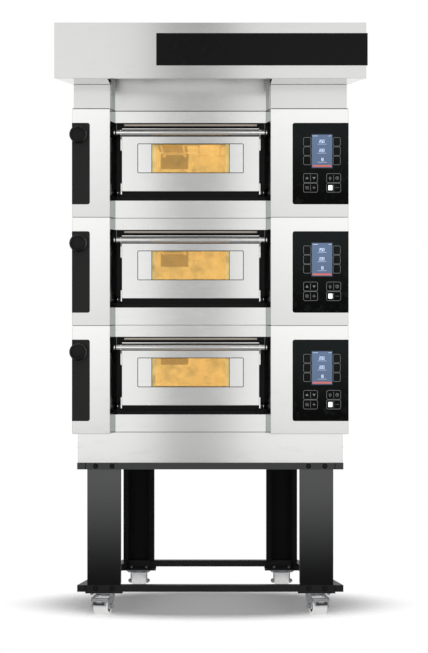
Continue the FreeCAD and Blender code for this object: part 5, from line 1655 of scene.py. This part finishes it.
    def icon(self, maker: Maker, icon: Icon, x: float, z: float) -> None:
        """Draws a small printed mark.

        Args:
            maker: Where it goes.
            icon: Which mark.
            x: Its middle, across.
            z: Its middle, up.
        """
        r = self.icon_radius
        w = r * 0.24
        if icon in (Icon.UP, Icon.DOWN):
            y, way = self.front(2), r if icon is Icon.UP else -r
            maker.slab([(x - r, z - way * 0.6), (x + r, z - way * 0.6), (x, z + way * 0.8)], y,
                       y + self.print_depth)
        elif icon is Icon.PLUS:
            self.bar(maker, x - r, x + r, z - w / 2, z + w / 2)
            for z0, z1 in ((z + w / 2, z + r), (z - r, z - w / 2)):
                self.bar(maker, x - w / 2, x + w / 2, z0, z1)
        elif icon is Icon.CLOCK:
            self.ring(maker, x, z, r, w)
            self.bar(maker, x - w / 2, x + w / 2, z, z + r * 0.55)
            self.bar(maker, x + w / 2, x + r * 0.45, z, z + w)
        elif icon is Icon.LAMP:
            self.ring(maker, x, z, r * 0.75, w)
            self.bar(maker, x - r * 0.3, x + r * 0.3, z - r * 1.2, z - r * 0.9)
        elif icon is Icon.STEAM:
            for i, k in product((-1, 0, 1), range(4)):
                mid = x + i * r * 0.7 + r * 0.18 * (-1) ** k
                self.bar(maker, mid - w / 2, mid + w / 2, z - r + k * r * 0.5, z - r * 0.5 + k * r * 0.5)
        elif icon is Icon.DOTS:
            for mid in (x - r * 0.8, x, x + r * 0.8):
                self.bar(maker, mid - w * 0.7, mid + w * 0.7, z - w * 0.7, z + w * 0.7)


@dataclass
class VentKnob:
    """The steam valve's pull knob, its cap and the collar in the panel."""

    number: int
    flutes: int = 28
    flute_radius: float = 0.0009
    flute_ends: tuple[float, float] = (0.0135, 0.0165)
    face: float = 0.82

    def build(self) -> None:
        """Dresses the knob and rod and adds the cap, grip lines and collar."""
        body = f"vent_{self.number}"
        knob = Span.of(f"{body}_knob")
        dress(f"{body}_knob", KNOB)
        dress(f"{body}_rod", BRIGHT_BAR)
        centre, radius = Vector((knob.mid.x, knob.lo.y, knob.mid.z)), knob.size.x / 2
        face = radius * self.face
        Maker().lathe([(face * 0.93, 0.0006), (face * 0.93, -0.0002), (face * 0.90, -0.0007),
                       (face * 0.5, -0.0013), (0, -0.0016)], centre, Y_AXIS, steps=56).piece(
            f"{body}_knob_cap", KNOB, body)
        grips, (front, back) = Maker(), self.flute_ends
        for foot in circle(centre, radius - 0.0002, self.flutes):
            grips.tube([foot + Y_AXIS * along for along in steps_between(front, knob.size.y - back, 4)],
                       self.flute_radius, steps=HEXAGON)
        grips.piece(f"{body}_knob_grips", KNOB, body)
        panel = Vector((centre.x, Span.of("vent_panels").lo.y + 0.0001, centre.z))
        Maker().lathe([(0.0048, 0.002), (0.0048, -0.0001), (0.0125, -0.0001), (0.0145, 0.0004),
                       (0.0145, 0.002)], panel, Y_AXIS, steps=40, closed=True).piece(
            f"{body}_collar", SCREW_STEEL)


# ---------------------------------------------------------------- body
@dataclass
class Deck:
    """One deck's outside: screws, side louvres and what is on its back."""

    number: int
    screw_radius: float = 0.0048
    side_inset: float = 0.018
    back_inset: float = 0.014
    louvres: int = 7
    louvre_pitch: float = 0.017
    louvre_base: float = 0.070
    louvre_height: float = 0.012
    louvre_rise: float = 0.0042
    louvre_ends: tuple[float, float] = (0.330, 0.230)
    louvre_steps: tuple[int, int] = (9, 12)
    gap_inset: float = 0.004
    rings: int = 5
    guard_radius: float = 0.058
    guard_stand_off: float = 0.004
    guard_foot: float = 0.012
    gland_radius: float = 0.016
    plate_half: tuple[float, float] = (0.045, 0.022)
    plate_thickness: float = 0.0006

    def build(self) -> None:
        """Dresses the casing and adds its fasteners and rear fittings."""
        dress(f"deck_{self.number}_casing", SHEET)
        dress(f"cooling_fan_{self.number}", FAN_PLASTIC)
        self.case = Span.of(f"deck_{self.number}_casing")
        self.add_casing_screws()
        self.add_louvres()
        self.add_fan_guard()
        self.add_rear_fittings()

    def add_casing_screws(self) -> None:
        """Screws along the edges of both side sheets and the back sheet."""
        c, side, back, radius, maker = self.case, self.side_inset, self.back_inset, self.screw_radius, Maker()
        for way, x in ((-1, c.lo.x), (1, c.hi.x)):
            maker.screws([x], (c.lo.y + 0.058, c.mid.y, c.hi.y - 0.015), (c.lo.z + side, c.hi.z - side),
                         X_AXIS * way, radius)
        maker.screws(steps_between(c.lo.x + 0.100, c.hi.x - side, 5), [c.hi.y],
                     (c.lo.z + back, c.hi.z - back), Y_AXIS, radius)
        maker.piece(f"deck_{self.number}_casing_screws", SCREW_STEEL)

    def louvre_swell(self, up: float, across: float) -> float:
        """How far a louvre stands out, at a share of its height and of its length."""
        swell = self.louvre_rise * math.sqrt(max(0.0, math.sin(math.pi * up)))
        return swell * min(1.0, 8 * across + 0.05, 8 * (1 - across) + 0.05)

    def add_louvres(self) -> None:
        """Pressed louvres low on the right side, for air to the electrics, with dark strips under them:
        painted shade of their openings.
        """
        c, louvres, shadow_gaps = self.case, Maker(), Maker()
        y0, y1 = (c.hi.y - end for end in self.louvre_ends)
        rows, columns = self.louvre_steps
        for i in range(self.louvres):
            z = c.lo.z + self.louvre_base + i * self.louvre_pitch
            grid = [[louvres.mesh.verts.new((c.hi.x - 0.0002 + self.louvre_swell(up, across),
                                             y0 + (y1 - y0) * across, z + self.louvre_height * up))
                     for across in steps_between(0, 1, columns)] for up in steps_between(0, 1, rows)]
            for a, b in zip(grid, grid[1:]):
                for k in range(columns - 1):
                    louvres.mesh.faces.new((a[k], a[k + 1], b[k + 1], b[k]))
            # Painted shade: a dark strip under each louvre, where its opening would be in shade.
            shadow_gaps.block((c.hi.x - 0.0003, y0 + self.gap_inset, z - 0.0026),
                       (c.hi.x + 0.0004, y1 - self.gap_inset, z - 0.0002), bevel=0.0001)
        louvres.piece(f"deck_{self.number}_louvres", SHEET)
        shadow_gaps.piece(f"deck_{self.number}_louvre_shadow_gaps", SEAL)

    def add_fan_guard(self) -> None:
        """Wire rings and spokes over the fan's slots."""
        fan, reach, maker = Span.of(f"cooling_fan_{self.number}"), self.guard_radius, Maker()
        centre = Vector((fan.mid.x, self.case.hi.y + self.guard_stand_off, fan.mid.z))
        for i in range(self.rings):
            maker.tube(circle(centre, reach * (i + 1) / self.rings, 40), 0.0011, steps=HEXAGON, closed=True)
        for k in range(4):
            a = math.radians(45 + 90 * k)
            way = Vector((math.cos(a), 0, math.sin(a)))
            end = centre + way * (reach + self.guard_foot)
            maker.tube([centre + way * reach * 0.2, centre + way * reach, end, end - Y_AXIS * 0.0035],
                       0.0014, steps=HEXAGON)
            maker.screw(end - Y_AXIS * self.guard_stand_off, Y_AXIS, 0.0045)
        maker.piece(f"deck_{self.number}_fan_guard", BRIGHT_BAR)

    def add_rear_fittings(self) -> None:
        """A gland nut, a blank rating plate and an earth stud."""
        glands, (base, _) = Span.of("cable_glands"), deck_levels()
        y = self.case.hi.y
        centre = Vector((glands.mid.x, y, glands.lo.z + self.gland_radius + self.case.lo.z - base))
        nut = Maker().lathe([(0.0163, 0.0002), (0.0215, 0.0002), (0.0215, 0.0075), (0.020, 0.009),
                             (0.0163, 0.009)], centre, Y_AXIS, steps=HEXAGON, closed=True)
        nut.piece(f"deck_{self.number}_gland_nut", FAN_PLASTIC)
        x, z, (wide, high) = centre.x - 0.16, centre.z + 0.01, self.plate_half
        face = y + self.plate_thickness
        Maker().block((x - wide, y, z - high), (x + wide, face, z + high), bevel=0.0002).piece(
            f"deck_{self.number}_rating_plate", PLATE)
        fixings = Maker().screws((x - 0.040, x + 0.040), [face], [z], Y_AXIS, 0.0022)
        fixings.nut(centre + X_AXIS * 0.055, Y_AXIS, 0.006, 0.005)
        fixings.piece(f"deck_{self.number}_rear_fixings", BRIGHT_BAR)


@dataclass
class Body:
    """What the decks share: covers, fascias, panels, chambers and the plinth."""

    seam_inset: float = 0.002
    seam_depth: tuple[float, float] = (0.0012, 0.012)
    seam_half: float = 0.0009
    seam_open: float = 0.0001
    seam_top: float = 0.0019
    shield_inset: float = 0.008
    shield_depth: tuple[float, float] = (0.006, 0.009)
    shield_rise: tuple[float, float] = (0.0085, 0.0165)
    plinth_inset: float = 0.04
    plinth_screw: float = 0.0048
    strap_inset: float = 0.10
    strap_half: float = 0.012
    strap_reach: tuple[float, float] = (0.020, 0.022)
    strap_sheet: float = 0.0015

    def build(self) -> None:
        """Dresses the shared CAD nodes and adds the plinth's and sills' small parts."""
        covers = Span.of("column_covers")
        base, pitch = deck_levels()
        # Column sheet with painted shade inside the recess and towards each deck's foot.
        column = RecessSteel("column_sheet", "steel", tint=(0.86, 0.86, 0.85), roughness=0.17, clouding=0.03,
                             base=base, pitch=pitch, fall=0.26, recess=(covers.lo.y + 0.002, covers.hi.y))
        # Control overlay: each deck's panel is paler towards its top, a painted reflection.
        control = Overlay("control_overlay", "black_panel", tint=(0.002, 0.002, 0.002), shine=0.03,
                          upper=(0.020, 0.024, 0.024), base=base, pitch=pitch)
        finishes = {
            "column_covers": column, "fascia_panels": FRONT_SHEET, "plinth": FRONT_SHEET,
            "vent_panels": PANEL, "control_panels": control, "chambers": CHAMBER, "mouth_frames": SHADED_ENAMEL,
            "hinge_brackets": SHADED_ENAMEL, "baking_stones": STONE, "heating_elements": ELEMENT_SHEATH,
            "oven_lamps": LAMP, "insulation": WOOL, "steam_pipes": DUCT_STEEL, "rear_duct": SHEET,
            "electrics": BOARD, "cable_glands": FAN_PLASTIC,
        }
        for node, finish in finishes.items():
            dress(node, finish)
        self.add_seam_beads(covers, base, pitch)
        self.add_heat_shields(pitch)
        self.add_plinth_screws()
        self.add_duct_straps()

    def add_seam_beads(self, covers: Span, base: float, pitch: float) -> None:
        """Dark beads in the seams between the stacked column covers.

        Args:
            covers: The covers' box.
            base: The lowest deck's base.
            pitch: The decks' pitch.
        """
        (left, right), inset, half, maker = recess_edges(), self.seam_inset, self.seam_half, Maker()
        y0, y1 = (covers.lo.y + depth for depth in self.seam_depth)
        for i in range(len(DECKS) + 1):
            z = base + pitch * i
            z0 = z + (self.seam_open if i == 0 else -half)
            z1 = z + (self.seam_top if i == len(DECKS) else half)
            for x0, x1 in ((covers.lo.x + inset, left - inset), (right + inset, covers.hi.x - inset)):
                maker.block((x0, y0, z0), (x1, y1, z1))
        maker.piece("deck_seam_beads", SEAL)

    def add_heat_shields(self, pitch: float) -> None:
        """A narrow brownish shield over each door, under the upper fascia.

        Args:
            pitch: The decks' pitch.
        """
        door, inset, maker = Span.of("door_1_skin"), self.shield_inset, Maker()
        y0, y1 = (Span.of("fascia_panels").lo.y + depth for depth in self.shield_depth)
        for i in range(len(DECKS)):
            z0, z1 = (door.hi.z + pitch * i + rise for rise in self.shield_rise)
            maker.block((door.lo.x + inset, y0, z0), (door.hi.x - inset, y1, z1), bevel=0.0008)
        maker.piece("door_heat_shields", SHIELD)

    def add_plinth_screws(self) -> None:
        """Screws along the plinth's sides and back."""
        p, inset, radius, maker = Span.of("plinth"), self.plinth_inset, self.plinth_screw, Maker()
        for side, x in ((-1, p.lo.x), (1, p.hi.x)):
            maker.screws([x], steps_between(p.lo.y + inset, p.hi.y - inset, 4), [p.mid.z], X_AXIS * side,
                         radius)
        maker.screws(steps_between(p.lo.x + inset, p.hi.x - inset, 5), [p.hi.y], [p.mid.z], Y_AXIS, radius)
        maker.piece("plinth_screws", SCREW_STEEL)

    def add_duct_straps(self) -> None:
        """Straps that hold the rear duct, with their screws."""
        d, straps, screws = Span.of("rear_duct"), Maker(), Maker()
        x, y, half, sheet = d.hi.x, Span.of("deck_1_casing").hi.y, self.strap_half, self.strap_sheet
        wide, deep = self.strap_reach
        for z in steps_between(d.lo.z + self.strap_inset, d.hi.z - self.strap_inset, 4):
            straps.block((x, y, z - half), (x + wide, y + sheet, z + half), bevel=0.0004)
            straps.block((x, y, z - half), (x + sheet, y + deep, z + half), bevel=0.0004)
            screws.screw(Vector((x + half, y + sheet, z)), Y_AXIS, 0.004)
        straps.piece("rear_duct_straps", SHEET)
        screws.piece("rear_duct_strap_screws", SCREW_STEEL)


@dataclass
class Hood:
    """The riser, the hood over it and what hangs inside the intake."""

    strip_brightness: float = 0.62
    screw_radius: float = 0.0045
    handle_place: float = 0.28
    handle_half: float = 0.035
    handle_drop: float = 0.012
    handle_wire: float = 0.0018
    eye_place: tuple[float, float] = (0.36, 0.2)
    eye_radius: float = 0.013
    eye_height: float = 0.024
    eye_wire: float = 0.0035
    flange_reach: float = 0.082
    flue_bore: float = 0.0728
    seam_places: tuple[float, float] = (-0.25, 0.25)
    seam_half: float = 0.008

    def build(self) -> None:
        """Dresses the hood and adds its light, seams, screws and lifting eyes."""
        self.shell, self.riser = Span.of("hood_shell"), Span.of("riser")
        self.filter, self.case = Span.of("grease_filter"), Span.of("deck_3_casing")
        # The riser's sheet gets painted shade inside the recess.
        recess = (self.riser.lo.y + 0.002, Span.of("fascia_panels").lo.y - 0.001)
        riser_sheet = RecessSteel("riser_sheet", "steel", tint=(0.67, 0.67, 0.66), roughness=0.17,
                                  clouding=0.03, recess=recess)
        for node, finish in (("riser", riser_sheet), ("hood_shell", HOOD_SHEET), ("hood_band", BAND),
                             ("grease_filter", SHEET), ("flue_collar", SHEET)):
            dress(node, finish)
        self.add_filter_handles()
        self.add_screws()
        self.add_lifting_eyes()
        self.add_flue_fittings()
        self.add_top_seams()
        self.add_strip()

    def add_filter_handles(self) -> None:
        """Two folding wire handles under the grease filter."""
        f, half, maker = self.filter, self.handle_half, Maker()
        for side in SIDES:
            x, y, z = f.mid.x + side * f.size.x * self.handle_place, f.lo.y + 0.006, f.lo.z
            bend = [Vector((x - half * math.cos(a), y, z - self.handle_drop * math.sin(a) ** 0.6))
                    for a in steps_between(0.0, math.pi, 9)]
            maker.tube([Vector((x - half, y, z + 0.001)), *bend, Vector((x + half, y, z + 0.001))],
                       self.handle_wire, steps=8)
        maker.piece("grease_filter_handles", BRIGHT_BAR)

    def add_screws(self) -> None:
        """Screws along the hood's top edges, its sides and the riser's sides."""
        s, r, case, radius, maker = self.shell, self.riser, self.case, self.screw_radius, Maker()
        maker.screws(steps_between(case.lo.x + 0.05, case.hi.x - 0.05, 6), (s.hi.y - 0.03, s.lo.y + 0.03),
                     [s.hi.z], Z_AXIS, radius)
        for box, front, back, z in ((case, case.lo.y + 0.10, s.hi.y - 0.05, s.lo.z + 0.020),
                                    (r, r.lo.y + 0.08, r.hi.y - 0.08, (r.lo.z + s.lo.z) / 2)):
            for side, x in ((-1, box.lo.x), (1, box.hi.x)):
                maker.screws([x], steps_between(front, back, 4), [z], X_AXIS * side, radius)
        maker.piece("hood_screws", SCREW_STEEL)

    def add_lifting_eyes(self) -> None:
        """Two ring bolts on the hood's top."""
        s, (across, back), maker = self.shell, self.eye_place, Maker()
        for side in SIDES:
            base = Vector((side * across, s.mid.y + back, s.hi.z))
            maker.lathe([(0.016, -0.0002), (0.016, 0.002), (0.010, 0.003), (0.006, 0.012), (0, 0.012)],
                        base, Z_AXIS, steps=24)
            ring = circle(base + Z_AXIS * self.eye_height, self.eye_radius, 24)
            maker.tube(ring, self.eye_wire, steps=8, closed=True)
        maker.piece("hood_lifting_eyes", ZINC)

    def add_flue_fittings(self) -> None:
        """The flue collar's flange screws and the rolled bead inside its rim."""
        f, reach = Span.of("flue_collar"), self.flange_reach
        centre = Vector((f.mid.x, f.mid.y, f.lo.z))
        Maker().screws((centre.x - reach, centre.x + reach), (centre.y - reach, centre.y + reach),
                       [centre.z + 0.002], Z_AXIS, self.screw_radius).piece("flue_flange_screws", SCREW_STEEL)
        rim = centre + Z_AXIS * (f.size.z - 0.010)
        Maker().tube(circle(rim, self.flue_bore, 64, Y_AXIS), 0.0012, steps=HEXAGON, closed=True).piece(
            "flue_inner_bead", SHEET)

    def add_top_seams(self) -> None:
        """Standing seams across the hood's top sheets."""
        s, half, maker = self.shell, self.seam_half, Maker()
        for x in self.seam_places:
            maker.block((x - half, self.case.lo.y + 0.03, s.hi.z - 0.0002),
                        (x + half, s.hi.y - 0.06, s.hi.z + 0.0022), bevel=0.0009)
        maker.piece("hood_top_seams", HOOD_SHEET)

    def add_strip(self) -> None:
        """Soft light from behind the hood's front lip."""
        f, lip = self.filter, self.shell.lo
        place = Vector((f.mid.x, lip.y + 0.006, (lip.z + f.lo.z) / 2))
        SoftBox("under_hood", tuple(place), tuple(place + Y_AXIS), (f.size.x, (f.lo.z - lip.z) * 0.8),
                self.strip_brightness).build()


# ---------------------------------------------------------------- studio
@dataclass(frozen=True)
class SoftBox:
    """One studio lamp. Its brightness is the radiance of its face, where white paper in full light is 1."""

    name: str
    place: Colour
    target: Colour
    size: tuple[float, float]
    brightness: float

    def build(self) -> None:
        """Hangs the lamp and aims it."""
        data = bpy.data.lights.new(self.name, "AREA")
        data.shape, data.size, data.size_y = "RECTANGLE", *self.size
        data.energy = self.brightness * math.pi * self.size[0] * self.size[1]
        light = bpy.data.objects.new(self.name, data)
        light.location = self.place
        aim = Vector(self.target) - Vector(self.place)
        light.rotation_euler = aim.to_track_quat("-Z", "Y").to_euler()
        light.visible_camera = False
        bpy.context.scene.collection.objects.link(light)
        log.info("lamp %s: brightness %.2f", self.name, self.brightness)


@dataclass
class Studio:
    """The floor, the lamps and the camera."""

    distance: float = 8.0
    eye_height: float = 1.214
    lens: float = 119.5
    sensor: float = 36.0
    shift: tuple[float, float] = (0.0057, -0.056)
    floor_radius: float = 6.0
    surround: float = 0.32
    lamps: tuple[SoftBox, ...] = field(default_factory=lambda: (
        SoftBox("left_wall", (-1.15, -2.9, 1.50), (-1.15, 0.0, 1.50), (1.8, 2.5), 0.80),
        SoftBox("right_wall", (1.00, -2.9, 1.50), (1.00, 0.0, 1.50), (1.8, 2.5), 0.80),
        SoftBox("middle_wall", (-0.075, -2.9, 1.50), (-0.075, 0.0, 1.50), (0.34, 2.5), 0.20),
        SoftBox("overhead", (0.0, -0.4, 4.2), (0.0, 0.0, 0.0), (3.2, 3.2), 0.92),
        SoftBox("left_fill", (-4.0, 0.6, 1.8), (0.0, 0.1, 1.1), (3.0, 3.0), 0.55),
        SoftBox("right_fill", (4.0, 0.6, 1.8), (0.0, 0.1, 1.1), (3.0, 3.0), 0.55),
        SoftBox("back_fill", (0.0, 4.4, 2.2), (0.0, 0.3, 1.2), (4.0, 3.0), 0.75),
    ))

    def build(self) -> None:
        """Sets up everything that isn't part of the oven."""
        self.build_floor()
        self.build_surround()
        for lamp in self.lamps:
            lamp.build()
        self.build_camera()

    def build_floor(self) -> None:
        """A round pale floor."""
        rim = self.floor_radius
        maker = Maker().lathe([(0, 0), (rim / 2, 0), (rim, 0)], Vector(), Z_AXIS, steps=64)
        data = bpy.data.meshes.new("studio_floor")
        maker.mesh.to_mesh(data)
        maker.mesh.free()
        data.materials.append(PaleFloor("pale_floor", "").material())
        floor = bpy.data.objects.new("studio_floor", data)
        bpy.context.scene.collection.objects.link(floor)

    def build_surround(self) -> None:
        """A white backdrop that lights the object a little less than it shows."""
        world = bpy.data.worlds.new("studio")
        bpy.context.scene.world = world
        world.use_nodes = True
        shader = Shader(world.node_tree)
        seen = shader.node("ShaderNodeLightPath", output="Is Camera Ray")
        strength = seen * (1.0 - self.surround) + self.surround
        white = {"Color": (1.0, 1.0, 1.0), "Strength": strength}
        shader.finish(shader.node("ShaderNodeBackground", None, white), "ShaderNodeOutputWorld")

    def build_camera(self) -> None:
        """The camera, level and square to the front."""
        front = Span.of("column_covers").lo.y
        data = bpy.data.cameras.new("camera")
        data.lens, data.sensor_width = self.lens, self.sensor
        data.shift_x, data.shift_y = self.shift
        camera = bpy.data.objects.new("camera", data)
        camera.location = (0.0, front - self.distance, self.eye_height)
        camera.rotation_euler = (math.radians(90), 0, 0)
        scene = bpy.context.scene
        scene.collection.objects.link(camera)
        scene.camera = camera
        scene.view_settings.view_transform = "Standard"
        log.info("camera %.2f m ahead of the columns", self.distance)


def main() -> None:
    """Builds the looks in order."""
    logging.basicConfig(level=logging.INFO, format="%(name)s: %(message)s")
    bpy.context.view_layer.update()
    Studio().build()
    Stand().build()
    for corner in CORNERS:
        Caster(corner).build()
    dress("caster_plates", ZINC)
    Body().build()
    for number in DECKS:
        Deck(number).build()
        Door(number).build()
        Chamber(number).build()
        ControlPanel(number).build()
        VentKnob(number).build()
    Hood().build()


if __name__ == "__main__":
    main()
